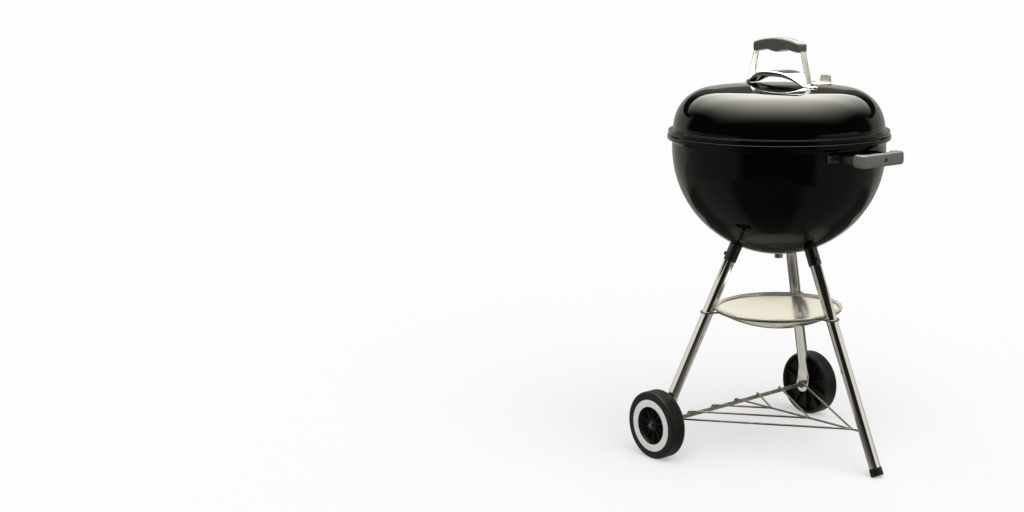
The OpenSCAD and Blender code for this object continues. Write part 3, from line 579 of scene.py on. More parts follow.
def leg_socket(azimuth):
    """A tube along a leg, trimmed where it meets the bowl, with a bead of weld round it.

    Its upper rows lie at or below the place where each line along the tube meets the sphere: the
    line's distance to the sphere's middle plane less the root of R^2 - d^2, d being how far the
    line passes the middle.
    """
    low, outer, inner = mm(439, 14.4, 12.9)
    middle = np.stack(leg_axes(azimuth)) @ (BOWL_Z * UP - leg_point(azimuth, low))
    weld = turned([[inner, 0], *stepped(outer, 0, (1.4, 0), (1.1, -0.9), (0.3, -2.2), (0, -3.2))], 72)
    past = ((weld[..., :2] - middle[:2])**2).sum(-1)
    weld[..., 2] += middle[2] - np.sqrt((BOWL_R + 0.1 * MM)**2 - past)
    mouth = turned([*stepped(outer, 0, (0, 0.8), (-0.25, 0.25), (-0.7, 0)), [inner, 0]], 72)
    return on_leg(grid(np.concatenate([weld, mouth]), around=True, along=True), azimuth, low)


def handle_bracket():
    """A steel strip that leaves the bowl's wall, runs through the grip and comes back."""
    reach, half, wall = K - HANDLE_LOW.y - 10 * MM, 57 * MM, BOWL_R + 1.9 * MM
    ends = [[wall * math.sin(t), -wall * math.cos(t)] for t in np.radians([21, 18.5, 16])]
    side = [*ends, [half, -math.sqrt(wall**2 - half**2)], [half, -reach]]
    line = rounded(side + [[-x, y] for x, y in side[::-1]], mm(0, 0, 0, 3.5, 8, 8, 3.5, 0, 0, 0), 8)
    path = np.column_stack([line, np.full(len(line), BOWL_Z)])
    return carry(path, rounded_box_section(2.8 * MM, 15.6 * MM, 0.6 * MM, 3), up=UP)


def handle_grip():
    """The bowl's handle: a U whose section is a rounded box between an outer and an inner outline.

    Point (i, j) is the middle of the two outlines at i, plus a unit vector towards the outer one
    times the section's first number, plus its second number upwards. The outer side bulges, and the
    section shrinks towards the two ends. The screw's hole is bored into the front.
    """
    wide, high = HANDLE_HIGH.x, HANDLE_HIGH.z - HANDLE_LOW.z
    front, end = HANDLE_LOW.y - K, HANDLE_HIGH.y - K
    bulge, corner, ramp = 1.2 * MM, 4.2 * MM, 9

    def outline(x, y, radius):
        """A U through [x, end] and [x, y], with its points spaced alike on both outlines."""
        line = rounded([[x, end], [x, y], [-x, y], [-x, end]], radius, 14)
        left = line[:len(line) // 2]
        arm, bend = resampled(left[:2], 14), resampled(left[1:], 26)
        bar = np.column_stack([np.linspace(left[-1][0], 0, 36), np.full(36, left[-1][1])])
        half = np.concatenate([arm[:-1], bend[:-1], bar])
        return np.concatenate([half, half[-2::-1] * [-1, 1]])

    outer = outline(wide, front, 15 * MM)
    inner = outline(wide - 18 * MM, front + 20 * MM, 9 * MM)
    middle, reach = (outer + inner) / 2, (outer - inner) / 2
    depth = np.linalg.norm(reach, axis=1)
    shrink = np.ones(len(outer))
    shrink[:ramp] = 0.72 + 0.28 * np.sqrt(1 - (1 - np.linspace(0, 1, ramp))**2)
    shrink[-ramp:] = shrink[:ramp][::-1]
    boxes = [rounded_box_section(2 * d * s, high * s, min(corner, d * s * 0.9), 7)
             for d, s in zip(depth, shrink)]
    across, up = np.moveaxis([resampled(box, 96, closed=True) for box in boxes], -1, 0)
    crown = bulge * np.cos(np.pi / 2 * np.clip(np.abs(up) / (high / 2), 0, 1))
    across = across + np.where(across > 0, crown - bulge, 0)
    points = np.concatenate([middle[:, None] + (reach / depth[:, None])[:, None] * across[..., None],
                             (BOWL_Z + up)[..., None]], -1)
    return bored(capped(points), [((0, front, BOWL_Z), (0, -1, 0), 4.5 * MM, 4 * MM)])


# Lid and its fittings
FOOT_Y = 97 * MM
FOOT_TILT = math.asin(FOOT_Y / CROWN_R)
FOOT_Z = CROWN_Z + math.sqrt(CROWN_R**2 - FOOT_Y**2)
BOLT_HOLE_R, RIVET_HOLE_R = mm(3.2, 3.05)
SHIELD_T = 1 * MM
STRAP_W, STRAP_T = mm(16, 2.5)
DAMPER_X, DAMPER_R, DAMPER_T = mm(108, 43, 1.2)
AIR_R = 8.5 * MM
AIR_SPOTS = [25 * MM * outward(a)[:2] for a in np.radians([45, 135, 225, 315])]


def crown_spot(dist, azimuth, x=0.0, y=0.0):
    """A point beside the one that lies dist from the middle of the crown, and the way up there."""
    verts, _ = on_crown((np.array([[0, 0, 0], [x, y, 0], [0, 0, 1]]), None), dist, azimuth)
    return verts[1], verts[2] - verts[0]


def lid():
    """The upper shell: a skirt over the bowl's lip, a ledge, a round shoulder and a shallow crown."""
    skirt_r, low = LID_HIGH.x - 2 * MM, SEAM_Z + REST_GAP
    skirt = rounded([[skirt_r, low], [skirt_r, LID_LOW.z + 12.2 * MM], [LID_R, LID_LOW.z + 12.9 * MM],
                     [LID_R, LID_WALL_Z]], mm(0, 0.5, 0.8, 0), 8)
    shoulder = arc(SHOULDER_X, LID_WALL_Z, SHOULDER_R, 0, 90 - math.degrees(CROWN_ANGLE), 34)
    edge, pitch = shoulder[-1, 0], 4 * MM
    r = np.append(np.arange(int(edge / pitch), 0, -1) * pitch, 0)
    r = r[r < edge - 1.5 * MM]
    crown = np.stack([r, CROWN_Z + np.sqrt(CROWN_R**2 - r**2)], -1)
    profile = np.concatenate([skirt[:1], [[skirt_r, low + 3 * MM]], skirt[1:-1], shoulder, crown])
    holes = [(*crown_spot(DAMPER_X, 0, *spot), AIR_R, None) for spot in AIR_SPOTS]
    holes.append((*crown_spot(DAMPER_X, 0), RIVET_HOLE_R, None))
    holes += [(*crown_spot(FOOT_Y, azimuth), BOLT_HOLE_R, None) for azimuth in (-90, 90)]
    return bored(turned(profile, 288), holes)


def foot_line(y, above):
    """[y, height] of a line that lies above the plane on which each handle foot stands."""
    return [y, FOOT_Z + above / math.cos(FOOT_TILT) - (y - FOOT_Y) * math.tan(FOOT_TILT)]


def strap():
    """A flat bar bent into the handle's legs, from one toe over the grip to the other.

    Its toes are rounded as seen from above: the width is the root of 1 - (1 - t)^2, t being the
    distance from the toe over half the bar's width.
    """
    above = REST_GAP + SHIELD_T
    half = [foot_line(FOOT_Y + 11 * MM, above), foot_line(FOOT_Y - 8 * MM, above),
            [GRIP_HIGH.y - K - 7 * MM, GRIP_HIGH.z - 15 * MM]]
    line = offset(rounded(half + [[-y, z] for y, z in half[::-1]], 5 * MM, 8), -STRAP_T / 2)
    line = np.concatenate([resampled(line[:2], 9)[:-1], line[1:-1], resampled(line[-2:], 9)[1:]])
    path = np.column_stack([np.zeros(len(line)), line])
    s = distances(path)
    t = np.clip(np.minimum(s, s[-1] - s) / (STRAP_W / 2), 0, 1)
    scale = np.ones((len(line), 2))
    scale[:, 1] = np.sqrt(np.clip(1 - (1 - t)**2, 0.06, 1))
    return carry(path, rounded_box_section(STRAP_T, STRAP_W, 0.5 * MM, 3), up=(1, 0, 0), scale=scale)


def grip():
    """The lid's grip: an arched back over a wavy finger side, rounded on every edge.

    At distance y the section is a rounded box from the under side to the back. Near the ends its
    width and height draw in along quarter circles.
    """
    half, side, top = GRIP_HIGH.y - K, GRIP_HIGH.x, GRIP_HIGH.z
    sag, corner, end_r, edge, dome, depth, wave = mm(12, 9, 5, 4.5, 1.2, 29.4, 2.3)
    waves = 2.21
    back_r = (half**2 + sag**2) / (2 * sag)
    y = half * np.sin(np.linspace(-math.pi / 2, math.pi / 2, 121))

    def quarter(r):
        """How far a quarter circle of radius r has drawn in from the side at each y."""
        return r - np.sqrt(r**2 - np.clip(np.abs(y) - (half - r), 0, r)**2)

    wide = side - quarter(corner)
    back = top - back_r + np.sqrt(back_r**2 - y**2) - quarter(end_r)
    under = top - depth - wave * np.cos(math.pi * waves * y / half) + quarter(end_r)
    rows = []
    for w, high, low, station in zip(wide, back, under, y):
        x, z = rounded_box_section(2 * w, high - low, min(edge, 0.9 * w, 0.45 * (high - low)), 8).T
        lift = np.where(z > 0, -dome * (x / w)**2, 0)
        rows.append(np.column_stack([x, np.full(len(x), station), z + (high + low) / 2 + lift]))
    return grid(capped(np.array(rows)), around=True)


def shield():
    """The heat shield: an arched sheet, broad in the middle, with its long edges turned down.

    Along y its height is low + rise (1 - (y / end)^2.6). Across, the sheet is flat up to a bend
    that turns through 98 degrees, and then runs down. The turned edge shrinks away towards the feet.
    """
    end, reach, rise = FOOT_Y - 12 * MM, FOOT_Y + 12 * MM, 29 * MM
    foot_half, broad, toe_r, bend, drop = mm(9, 23, 6, 1.8, 9)
    y = np.linspace(-reach, reach, 161)
    near = np.abs(y)
    arch = foot_line(end, REST_GAP)[1] + rise * (1 - np.clip(near / end, 0, 1)**2.6)
    z = np.where(near < end, arch, foot_line(near, REST_GAP)[1]) + SHIELD_T
    blend = 0.9 * MM * np.exp(-((near - end) / (4 * MM))**2)
    z += np.where(near < end, blend, 0.35 * blend)
    toe = np.clip((near - (reach - toe_r)) / toe_r, 0, 1)
    half = foot_half + broad * (1 - np.clip(near / FOOT_Y, 0, 1)**2.1) - toe_r * (1 - np.sqrt(1 - toe**2))
    turn = np.radians(np.linspace(0, 98, 10))
    out, down = bend * np.sin(turn), bend * (1 - np.cos(turn))
    out = np.append(out, out[-1] + drop * math.cos(turn[-1]))
    down = np.append(down, down[-1] + drop * math.sin(turn[-1]))
    flat = np.linspace(-1, 1, 21)[1:-1]
    side = np.concatenate([-np.ones(len(out)), flat, np.ones(len(out))])
    out = np.concatenate([-out[::-1], 0 * flat, out])
    down = np.concatenate([down[::-1], 0 * flat, down])
    share = 0.02 + 0.98 * np.sqrt(np.clip(1 - near / end, 0, 1))[:, None]
    x = (half[:, None] - share * bend) * side + share * out
    verts, quads = grid(np.stack([x, np.broadcast_to(y[:, None], x.shape), z[:, None] - share * down], -1))
    return verts, quads[:, ::-1]


def damper_disc():
    """A slice of a sphere about the crown's own centre, with four air holes."""
    r = np.append(np.linspace(DAMPER_R, 2 * MM, 22), 0)
    top = CROWN_R + REST_GAP + DAMPER_T
    points = turned(np.stack([r, np.sqrt(top**2 - r**2) - CROWN_R], -1), 144)
    holes = [((*spot, DAMPER_T), (0, 0, 1), AIR_R, None) for spot in AIR_SPOTS]
    return [on_crown(s, DAMPER_X) for s in bored(points, holes)]


def on_damper(outline, plate, lift):
    """A plate, [thick, edge, n], with this outline of [side, height], stood near the disc's edge."""
    shape = placed(slab(outline, *plate), (40 * MM, 0, lift), (0, 1, 0), UP, (1, 0, 0))
    return on_crown(shape, DAMPER_X)


def damper_blade():
    """The disc's upright blade, which the tab covers."""
    outline = rounded(np.array([[-9, 0], [9, 0], [9, 16.5], [-9, 16.5]]) * MM, 2 * MM, 4, closed=True)
    return on_damper(outline, (DAMPER_T, 0.2 * MM, 2), 0.2 * MM)


def damper_tab():
    """The tab's moulded cover, a little narrower at its top."""
    right = [[15, 0.6], [15.5, 3.4], [13.2, 15], [10, 17]]
    corners = np.array(right + [[-x, z] for x, z in right[::-1]]) * MM
    return on_damper(rounded(corners, 2.4 * MM, 5, closed=True), (7 * MM, 1.8 * MM, 5), 3 * MM)


# Stand
CRIMP_H, CRIMP_HALF, CRIMP_T = mm(58, 18.8, 3.48)
CRIMP_Z = AXLE_Z + CRIMP_H
CRIMP_X = WHEEL_LOW.x - REST_GAP - CRIMP_T / 2
TO_BOWL = LEG_LIFT * math.cos(SLOPE) + math.sqrt(BOWL_R**2 - (LEG_LIFT * math.sin(SLOPE))**2)
LEG_END_Z = LEG_TOP_Z - (TO_BOWL + 3 * MM) * math.cos(SLOPE)


def front_leg():
    """A straight hollow tube, open at both ends, whose upper end stops under the bowl."""
    low = (CAP_HIGH.z - CAP_LOW.z) * 0.28
    length = (LEG_END_Z - low) / math.cos(SLOPE)
    inner = LEG_R - 1.2 * MM
    side = [[LEG_R, h] for h in np.linspace(0.02, 0.98, 12) * length]
    profile = [[inner, 0], *stepped(LEG_R, 0, (-0.3, 0), (0, 0.3)), *side,
               *stepped(LEG_R, length, (0, -0.3), (-0.3, 0)), [inner, length]]
    return on_leg(lathe(profile, 96), FRONT, low)


def wheel_leg(side):
    """A tube that is pressed flat towards its foot, where the axle goes through it.

    Each station has a middle, an upward axis, half sizes a and b, and a power p: its outline is
    |x/a|^p + |y/b|^p = 1, a circle where p is 2. The middles follow the leg's line, then a cubic
    from that line to the foot's, then the foot, whose end is half a circle.
    """
    leg_up = leg_axes(RIGHT)[2]
    lean = math.atan2(AXLE_Y - leg_point(RIGHT, CRIMP_Z)[1], CRIMP_H)
    foot_up = np.array([0, -math.sin(lean), math.cos(lean)])
    axle = np.array([CRIMP_X, AXLE_Y, AXLE_Z])
    top, start = leg_point(RIGHT, LEG_END_Z), leg_point(RIGHT, CRIMP_Z + 8 * MM)
    end = axle + 17 * MM * foot_up
    chord = np.linalg.norm(end - start)

    stations = [(top + s * (start - top), leg_up, LEG_R, LEG_R, 2) for s in np.linspace(0, 0.999, 14)]
    for s in np.linspace(0, 1, 26):
        ease = step(s, 0, 1)
        middle = ((1 - ease) * start - (s**3 - 2 * s**2 + s) * chord * leg_up
                  + ease * end - (s**3 - s**2) * chord * foot_up)
        stations.append((middle, unit((1 - ease) * leg_up + ease * foot_up),
                         LEG_R + (CRIMP_T / 2 - LEG_R) * ease,
                         LEG_R + (CRIMP_HALF - LEG_R) * ease**0.8, 2 + 4 * ease))
    for h in np.linspace(15, 1, 6) * MM:
        stations.append((axle + h * foot_up, foot_up, CRIMP_T / 2, CRIMP_HALF, 6))
    for a in np.radians(np.linspace(0, 88, 14)):
        stations.append((axle - CRIMP_HALF * math.sin(a) * foot_up, foot_up, CRIMP_T / 2,
                         CRIMP_HALF * math.cos(a), 6))

    t = np.linspace(0, 2 * math.pi, 72, endpoint=False)
    c, s = np.cos(t), np.sin(t)
    rows = []
    for middle, up, a, b, p in stations:
        x = unit(np.array([1.0, 0, 0]) - up[0] * up)
        rows.append(middle + np.outer(a * np.sign(c) * np.abs(c)**(2 / p), x)
                    + np.outer(b * np.sign(s) * np.abs(s)**(2 / p), np.cross(up, x)))
    return grid(capped(np.array(rows)) * [side, 1, 1], around=True)


def leg_cap():
    """The front leg's cap. Its bottom row lies where lines along the leg meet the floor."""
    outer, inner, tall = LEG_R + 1.55 * MM, LEG_R + 0.15 * MM, 18 * MM
    mid_z = 0.45 * outer * math.sin(SLOPE)
    points = turned([[0, 0], *stepped(outer, 0, (-0.8, 0), (0, 0.7)), [outer, tall / 2],
                     *stepped(outer, tall, (0, -0.8), (-0.3, -0.2), (-0.7, 0)),
                     [inner, tall], [inner, 3 * MM], [0, 3 * MM]], 72)
    floor = -(mid_z + points[..., 0] * math.sin(SLOPE)) / math.cos(SLOPE)
    points[..., 2] = np.maximum(points[..., 2], floor)
    return on_leg(grid(points, around=True), FRONT, mid_z)


# Wheels: their own z runs outwards along the axle, and is 0 at the tyre's inner face
WHEEL_R = (WHEEL_HIGH.z - WHEEL_LOW.z) / 2
HUB_OUT = 4.9 * MM
WHEEL_X = WHEEL_LOW.x + HUB_OUT
WHEEL_W = WHEEL_HIGH.x - WHEEL_X
RING_R, WELL_R, HOLLOW_R, HUB_R = mm(58.7, 43, 68.5, 13)


def tyre(side):
    """Tyre and rim, turned round the axle, with fine grooves round the tread."""
    r, w, edge = WHEEL_R, WHEEL_W, 6 * MM
    grooves, dip = 7, 0.9 * MM
    pitch = (w - 2 * edge) / grooves
    tread = [[r - dip * deep, edge + (k + share) * pitch] for k in range(grooves)
             for share, deep in ((0.12, 0), (0.78, 0), (0.84, 1), (1.06, 1))][:-2]
    profile = np.concatenate([
        stepped(HOLLOW_R, w / 2, (-3, -2), (-0.8, -2.8), (0, -5)), stepped(HOLLOW_R, 0, (0.4, 1), (1.2, 0)),
        arc(r - edge, edge, edge, -90, 0, 8), tread, arc(r - edge, w - edge, edge, 0, 90, 8),
        stepped(RING_R, w, (2.2, 0), (0.9, -0.2), (0.35, -1)),
        stepped(WELL_R, w, (-0.6, -1), (-1.2, -1.6)), stepped(WELL_R, w / 2, (-3.5, 2), (-3.5, -2))])
    return on_axle(lathe(profile, 160), side, WHEEL_X)


def wheel_middle(side):
    """Web, hub and ten ribs on each side of the web."""
    w = WHEEL_W
    bore, top = AXLE_R + 0.05 * MM, w - 5 * MM
    web = lathe([*stepped(AXLE_R, w / 2, (0.4, -2)), *stepped(WELL_R, w / 2, (-2, -2), (-2, 2)),
                 *stepped(AXLE_R, w / 2, (0.4, 2))], 96)
    hub = lathe([[bore, -HUB_OUT], *stepped(HUB_R, -HUB_OUT, (-0.8, 0), (0, 0.8)),
                 *stepped(HUB_R, top, (0, -1.2), (-1.2, 0)), [bore, top]], 72)
    root, inner_tip, outer_tip = HUB_R - MM, HOLLOW_R + 0.3 * MM, WELL_R - 3 * MM
    inner = [[root, 3 * MM], [inner_tip, 6 * MM], [inner_tip, w / 2 - MM], [root, w / 2 - MM]]
    outer = [[root, w / 2 + MM], [outer_tip, w / 2 + MM], [outer_tip, w - 9 * MM], [root, w - 7 * MM]]
    ribs = [slab(resampled(np.array(line), 24, closed=True), 1.8 * MM, 0.4 * MM, 2)
            for line in (inner, outer)]
    shapes = [web, hub]
    for x in map(outward, np.radians(np.arange(0, 360, 36))):
        shapes += [placed(rib, (0, 0, 0), x, UP, np.cross(x, UP)) for rib in ribs]
    return [on_axle(s, side, WHEEL_X) for s in shapes]


def wheel_ring(side):
    """The pale ring let into the wheel's outer face, very slightly crowned."""
    r = np.linspace(WELL_R + 0.1 * MM, RING_R - 0.1 * MM, 14)
    middle = (r[0] + r[-1]) / 2
    crown = WHEEL_W - 0.05 * MM - 0.25 * MM * ((r - middle) / (r[-1] - middle))**4
    low = WHEEL_W - 0.9 * MM
    profile = np.concatenate([np.stack([r, crown], -1), [[r[-1], low], [r[0], low]]])
    return on_axle(lathe(profile, 160), side, WHEEL_X)


def push_nut(side):
    """The cap that holds a wheel on the axle."""
    r, high, bore = 8 * MM, 3 * MM, AXLE_R + 0.05 * MM
    profile = np.concatenate([[[bore, 0]], stepped(r, 0, (-0.3, 0), (0, 0.3), (0, 1)),
                              arc(r - 2.4 * MM, 0.9 * MM, 2.1 * MM, 10, 90, 6),
                              stepped(bore, high, (0.4, 0), (0, -0.4))])
    return on_axle(lathe(profile, 64), side, WHEEL_X + WHEEL_W - 5 * MM + REST_GAP)


def axle():
    """The rod through both wheels, with chamfered ends."""
    x = np.linspace(-AXLE_HIGH.x, AXLE_HIGH.x, 9)
    return wire(np.stack([x, np.full(9, AXLE_Y), np.full(9, AXLE_Z)], -1), AXLE_R, 40, tip=0.18)


# Rack and ash catcher
RACK_R = 2.25 * MM
RACK_PITCH = 74 * MM
RACK_BEND_R = 5 * MM
WRAP = AXLE_R + RACK_R + REST_GAP
LEG_HALF = LEG_R / math.cos(SLOPE)
RACK_BACK_Y, RACK_BACK_Z = AXLE_Y + WRAP, AXLE_Z + WRAP
RACK_FRONT_Z = 91.5 * MM
RACK_LENGTH = LEG_HALF - leg_out(RACK_FRONT_Z) - RACK_BACK_Y
OUTER_SHARE, MIDDLE_SHARE, INNER_SHARE = 0.942, 0.615, 0.31


def on_rack(x, share):
    """A point of the rack's sloping plane at x, and at a share of the way to the front leg."""
    return np.array([x, RACK_BACK_Y + share * RACK_LENGTH,
                     RACK_BACK_Z + share * (RACK_FRONT_Z - RACK_BACK_Z)])


def rack():
    """The bottom rack's wires. Each bends over the axle, and the outer one ends in eyes round it."""
    down = -WRAP * UP
    straight = [on_rack(0, 0) + down, on_rack(0, 0), on_rack(0, 1.015)]
    lines = [rounded(straight, WRAP, 12)]
    for x, share in ((2 * RACK_PITCH, MIDDLE_SHARE), (RACK_PITCH, INNER_SHARE)):
        left, right = on_rack(-x, 0), on_rack(x, 0)
        line = [left + down, left, on_rack(0, share), right, right + down]
        lines.append(rounded(line, [0, WRAP, RACK_BEND_R, WRAP, 0], 12))
    eye_x = CRIMP_X - CRIMP_T / 2 - RACK_R - REST_GAP
    t = np.radians(np.linspace(-70, 180, 40))
    eye = np.stack([np.full(40, eye_x), AXLE_Y + WRAP * np.sin(t), AXLE_Z - WRAP * np.cos(t)], -1)
    line = [*eye, on_rack(0, OUTER_SHARE), *eye[::-1] * [-1, 1, 1]]
    lines.append(rounded(line, [0] * 40 + [RACK_BEND_R] + [0] * 40, 12))
    a = np.linspace(0, math.pi, 13)
    weld = lathe(np.stack([3.1 * MM * np.sin(a), 2.9 * MM * np.cos(a)], -1), 20, loop=False)
    welds = [placed(weld, on_rack(0, share)) for share in (OUTER_SHARE, MIDDLE_SHARE, INNER_SHARE)]
    return [wire(line, RACK_R) for line in lines] + welds


PAN_R = PAN_HIGH.x
PAN_RIM_Z = PAN_HIGH.z - 1.7 * MM


def ash_catcher():
    """A shallow spun dish with a raised disc in its middle, a short upright wall and a rolled rim.

    The dish's under side is part of a sphere: low + R less the root of R^2 - r^2.
    """
    dish_r, depth, low = PAN_R - 6 * MM, PAN_RIM_Z - 7 * MM - PAN_LOW.z, PAN_LOW.z
    curve_r = (dish_r**2 + depth**2) / (2 * depth)
    r = np.linspace(0, dish_r, 60)
    under = np.maximum(low + curve_r - np.sqrt(curve_r**2 - r**2), low)
    under += 1.3 * MM * (1 - step(r, 35 * MM, 39 * MM))
    flare = rounded([[r[-2], under[-2]], [dish_r, under[-1]], *stepped(dish_r, PAN_RIM_Z, (0.4, -1.7)),
                     *stepped(PAN_R, PAN_RIM_Z, (-2, -1.1))], mm(0, 1.5, 0.8, 0), 5)
    lower = np.concatenate([np.stack([r, under], -1)[:-2], flare])
    upper = offset(lower, 1 * MM)
    upper[0, 0] = 0
    bead = arc(PAN_R - 2 * MM, PAN_RIM_Z - 0.3 * MM, 2 * MM, 0, 345, 23)
    return [lathe(np.concatenate([lower, upper[::-1]]), 200), lathe(bead, 200)]


def ash_ring():
    """A wire ring under the dish's rim, with a clip of wire round each leg."""
    low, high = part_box("ash_ring")
    z, wire_r, ring_r = (low.z + high.z) / 2, 2 * MM, PAN_R - 3 * MM
    clip_r = LEG_HALF + REST_GAP + wire_r
    start = math.sqrt(ring_r**2 - clip_r**2) - 4 * MM
    bend = arc(leg_out(z), 0, clip_r, -90, 90, 28)
    line = np.concatenate([[[start, -clip_r]], bend, [[start, clip_r]]])
    clip = wire(np.column_stack([line, np.zeros(len(line))]), wire_r, 16, tip=0.6)
    ring = turned([[ring_r, z]], 160)[0]
    return [wire(ring, wire_r, 16, closed=True)] + [
        placed(clip, z * UP, outward(a), np.cross(UP, outward(a))) for a in (FRONT, LEFT, RIGHT)]


# The object
STAND = "stand_and_bowl"
SOCKETS = [leg_socket(azimuth) for azimuth in (FRONT, LEFT, RIGHT)]
piece("bowl_shell", bowl(), STAND, ENAMEL, ["bowl"], sheet=SHEET)
piece("sockets", SOCKETS, STAND, BLACK_STEEL, ["leg_sockets"])
piece("handle_bracket", handle_bracket(), STAND, BLACK_STEEL, ["bowl_handle_bracket"])
piece("handle_grip", handle_grip(), STAND, PALE_GREY, ["bowl_handle_grip"])
piece("lid_shell", lid(), "lid", ENAMEL, ["lid"], sheet=SHEET)
piece("grip", grip(), "lid", GREY, ["lid_handle_grip"])
piece("grip_strap", strap(), "lid", STRAP, ["lid_handle_bracket"])
piece("shield", shield(), "lid", BRIGHT, ["heat_shield"], sheet=SHIELD_T)
piece("damper_plate", damper_disc(), "damper", DAMPER, ["damper_disc"], sheet=DAMPER_T)
piece("damper_upright", damper_blade(), "damper", DAMPER)
piece("damper_cover", damper_tab(), "damper", TAB, ["damper_tab"])
piece("front_leg", front_leg(), STAND, CHROME, ["leg_front"])
piece("right_leg", wheel_leg(1), STAND, CHROME, ["leg_right"])
piece("left_leg", wheel_leg(-1), STAND, CHROME, ["leg_left"])
piece("front_cap", leg_cap(), STAND, BLACK_PLASTIC, ["leg_cap"])
piece("axle_rod", axle(), STAND, RACK_WIRE, ["axle"])
piece("push_nuts", [push_nut(1), push_nut(-1)], STAND, BLACK_STEEL, ["axle_push_nuts"])
for side, name in ((1, "right"), (-1, "left")):
    wheel = "wheel_" + name
    piece(name + "_wheel", [tyre(side), *wheel_middle(side)], wheel, TYRE, [wheel])
    piece(name + "_ring", wheel_ring(side), wheel, RING, ["wheel_ring_" + name])
piece("rack", rack(), STAND, RACK_WIRE, ["bottom_rack"], sharp=60)
piece("ash_hoop", ash_ring(), STAND, RACK_WIRE, ["ash_ring"], sharp=60)
piece("ash_dish", ash_catcher(), STAND, ASH, ["ash_catcher"], sharp=60)


# Studio
CAMERA_X, CAMERA_Y, CAMERA_Z = -2.37825, -2.302142, 1.08684
TO_CAMERA = math.atan2(CAMERA_Y - K, CAMERA_X)
CENTRE = np.array([0, K, 0.75])
WHITE = (1, 1, 1, 1)
SKY_LEVEL, SUN_LEVEL, BOX_LEVEL = 0.5, 1.82, 14.5
FLOOR_HALF, FLOOR_GREY = 60.0, 0.62
TENT_R, CLOTH_Z = 3.6, 0.002


def seen(tree):
    """1 for rays from the camera, from a mirror or through glass, otherwise 0."""
    path = tree.nodes.new("ShaderNodeLightPath").outputs
    total = path["Is Camera Ray"]
    for name in ("Is Glossy Ray", "Is Transmission Ray"):
        total = tree.node("ShaderNodeMath", {0: total, 1: path[name]}, operation="MAXIMUM").outputs[0]
    return total


def direction(azimuth, height):
    """Unit vectors at angles in degrees: azimuth from the camera's side, height over the horizon."""
    a, h = np.radians(azimuth) + TO_CAMERA, np.radians(height)
    return np.stack([np.cos(h) * np.cos(a), np.cos(h) * np.sin(a), np.sin(h)], -1)


def tent():
    """The pale walls round the studio, as polished surfaces see them: low down, and dark above."""
    azimuth, height = np.meshgrid(np.linspace(-180, 180, 241), np.linspace(-15, 90, 211))
    turn = np.abs(azimuth)
    ahead = 0.32 + 0.43 * step(height, -2, -1) - 0.75 * step(height, 28, 33)
    beside = 0.55 + 0.25 * step(height, 12, 14)
    beside *= np.where(turn < 150, 1 - step(height, 26, 30), 1 - step(height, 44, 48))
    return CENTRE + TENT_R * direction(azimuth, height), ahead + (beside - ahead) * step(turn, 106, 118)


def soft_box():
    """One long soft box bent over the kettle, brightest in the middle.

    Its two parameters are the tilt from the zenith towards the front, and the angle to the side.
    """
    across, tilt = np.meshgrid(np.linspace(-66, 66, 111), np.linspace(-57, 62, 121))
    t, a = np.radians(tilt)[..., None], np.radians(across)[..., None]
    middle = np.sin(t) * direction(0, 0) + np.cos(t) * direction(0, 90)
    glow = (0.45 + 0.55 * step(tilt, -51, -22)) * (1 - step(tilt, -2, 62))
    glow *= 1 - step(np.abs(across), 5, 66)
    return CENTRE + np.cos(a) * middle + np.sin(a) * direction(90, 0), BOX_LEVEL * glow


def ground_cloth():
    """The floor as polished surfaces see it: pale near the kettle and behind, dark in front."""
    r = np.concatenate([[0, 0.2, 0.3, 0.33, 0.36], np.linspace(0.4, TENT_R, 70)])[:, None]
    azimuth = np.linspace(-180, 180, 361)[None, :]
    a = np.radians(azimuth)
    left = step(azimuth, -120, -90) * (1 - step(azimuth, -62, -42))
    right = step(azimuth, 16, 34) * (1 - step(azimuth, 95, 120))
    ground = 0.08 + 0.3 * left + 0.2 * right
    ground = ground + (0.32 - ground) * step(r, 1.3, 1.7)
    close = (1 - step(r, 0.3, 0.55)) * (0.15 + 0.4 * step(np.abs(azimuth), 60, 100))
    front = step(r * np.cos(a) + 0.2 * np.abs(r * np.sin(a)), -0.92, -0.8)
    glow = 0.55 + (np.maximum(ground, close) - 0.55) * front
    a = a + TO_CAMERA
    return np.stack([r * np.cos(a), K + r * np.sin(a), np.full(glow.shape, CLOTH_Z)], -1), glow


def card(azimuths, radii, heights, glows):
    """A curved card hung round the kettle, with a radius, height and brightness for each row."""
    a = np.radians(azimuths) + TO_CAMERA
    r, z, glow = (np.stack([np.broadcast_to(v, a.shape) for v in rows]) for rows in (radii, heights, glows))
    return np.stack([r * np.cos(a), K + r * np.sin(a), z], -1), glow


def cards():
    """Three dark cards for the enamel to mirror, and a pale screen for the ash catcher.

    The front card is black but for its ends. The camera's card is black too, and its sides and lower
    edge fade into the tent. The rear card is a little paler in its middle. The screen stands close
    behind the dish and bends in over it, so that the dish alone mirrors it.
    """
    front, camera, rear, close = (np.linspace(start, end, 137)
                                  for start, end in ((-112, 112), (-45, 41), (112, 248), (120, 240)))
    low = 0.72 + 0.07 * step(front, 30, 38) * (1 - step(front, 80, 90))
    ends = 0.01 + 0.54 * step(np.abs(front), 102, 112)
    sides = 0.34 - 0.33 * step(camera, -45, -32) * (1 - step(camera, 30, 41))
    middle = 0.15 - 0.13 * step(np.abs(rear - 180), 24, 34)
    screen = 0.4 + 0.74 * (1 - step(np.abs(close - 180), 10, 40))
    return (
        ("front_card", card(front, (1.13, 1.13), (low, 1.5), (ends, ends))),
        ("camera_card", card(camera, (1.14, 1.14, 1.14), (0.01, 0.3, 1.0), (0.08, sides, sides))),
        ("rear_card", card(rear, (0.95, 0.95), (0.97, 1.3), (middle, middle))),
        ("dish_card", card(close, (0.38, 0.38, 0.36, 0.272), (0.35, 0.42, 0.66, 0.8),
                           (0.5, screen, screen, 0.8 * screen))),
    )


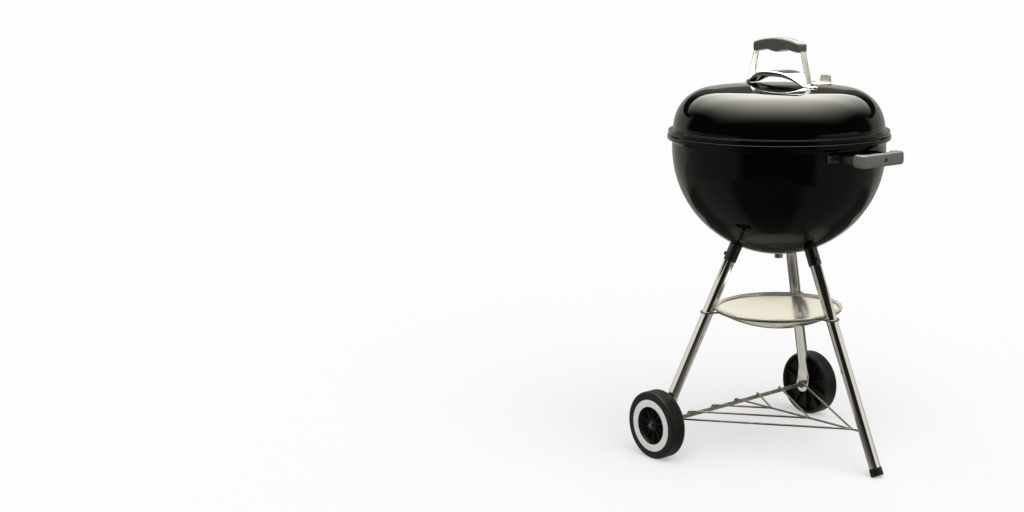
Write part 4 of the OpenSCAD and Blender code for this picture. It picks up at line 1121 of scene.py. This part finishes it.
world = bpy.data.worlds.new("studio")
bpy.context.scene.world = world
air = Tree(world)
open_air = air.nodes["Background"]
air.fill(open_air, {"Color": WHITE, "Strength": 1.0})
soft_air = air.node("ShaderNodeBackground", {"Color": WHITE, "Strength": SKY_LEVEL})
either = air.node("ShaderNodeMixShader", {0: seen(air), 1: soft_air.outputs[0], 2: open_air.outputs[0]})
air.fill(air.nodes["World Output"], {"Surface": either.outputs[0]})

paper = bpy.data.materials.new("floor_paper")
pulp = Tree(paper)
lift = pulp.node("ShaderNodeMath", {0: seen(pulp), 1: 1 - FLOOR_GREY}, operation="MULTIPLY")
pulp.fill(pulp.nodes["Principled BSDF"], {
    "Base Color": (FLOOR_GREY, FLOOR_GREY, FLOOR_GREY, 1), "Roughness": 1.0, "Specular IOR Level": 0.0,
    "Emission Color": WHITE, "Emission Strength": lift.outputs[0]})
corners = [[[-FLOOR_HALF, y, 0], [FLOOR_HALF, y, 0]] for y in (-FLOOR_HALF, FLOOR_HALF)]
mesh_object("floor", *grid(np.array(corners)), paper)

cloth = bpy.data.materials.new("tent_cloth")
weave = Tree(cloth)
weave.nodes.remove(weave.nodes["Principled BSDF"])
level = weave.node("ShaderNodeAttribute", attribute_name="glow").outputs["Fac"]
emit = weave.node("ShaderNodeEmission", {"Color": (1.0, 0.98, 0.87, 1), "Strength": level})
weave.fill(weave.nodes["Material Output"], {"Surface": emit.outputs[0]})

for name, (points, value) in (
    ("light_tent", tent()), ("soft_box", soft_box()), ("floor_cloth", ground_cloth()), *cards(),
):
    obj = mesh_object(name, *grid(points), cloth)
    obj.visible_camera = obj.visible_diffuse = obj.visible_shadow = False
    obj.visible_transmission = obj.visible_volume_scatter = False
    glow = obj.data.attributes.new("glow", "FLOAT", "POINT")
    glow.data.foreach_set("value", value.astype(np.float32).ravel())

sun_data = bpy.data.lights.new("soft_sky", "SUN")
sun_data.energy = SUN_LEVEL
sun_data.angle = math.radians(70)
sun = bpy.data.objects.new("soft_sky", sun_data)
sun.rotation_euler = Vector(direction(25, 55)).to_track_quat("Z", "Y").to_euler()
sun.visible_camera = sun.visible_glossy = sun.visible_transmission = False
bpy.context.scene.collection.objects.link(sun)

FOCAL, IMAGE_W, SENSOR_W = 1514.316, 1024, 36
cam_data = bpy.data.cameras.new("camera")
cam_data.sensor_width = SENSOR_W
cam_data.lens = FOCAL * SENSOR_W / IMAGE_W
cam_data.shift_x = -0.2604
cam = bpy.data.objects.new("camera", cam_data)
cam.matrix_world = Matrix(((0.70150, 0.13132, -0.70046, CAMERA_X),
                           (-0.71265, 0.13631, -0.68815, CAMERA_Y),
                           (0.00511, 0.98192, 0.18920, CAMERA_Z),
                           (0, 0, 0, 1)))
bpy.context.scene.collection.objects.link(cam)
bpy.context.scene.camera = cam
bpy.context.scene.view_settings.view_transform = "Standard"
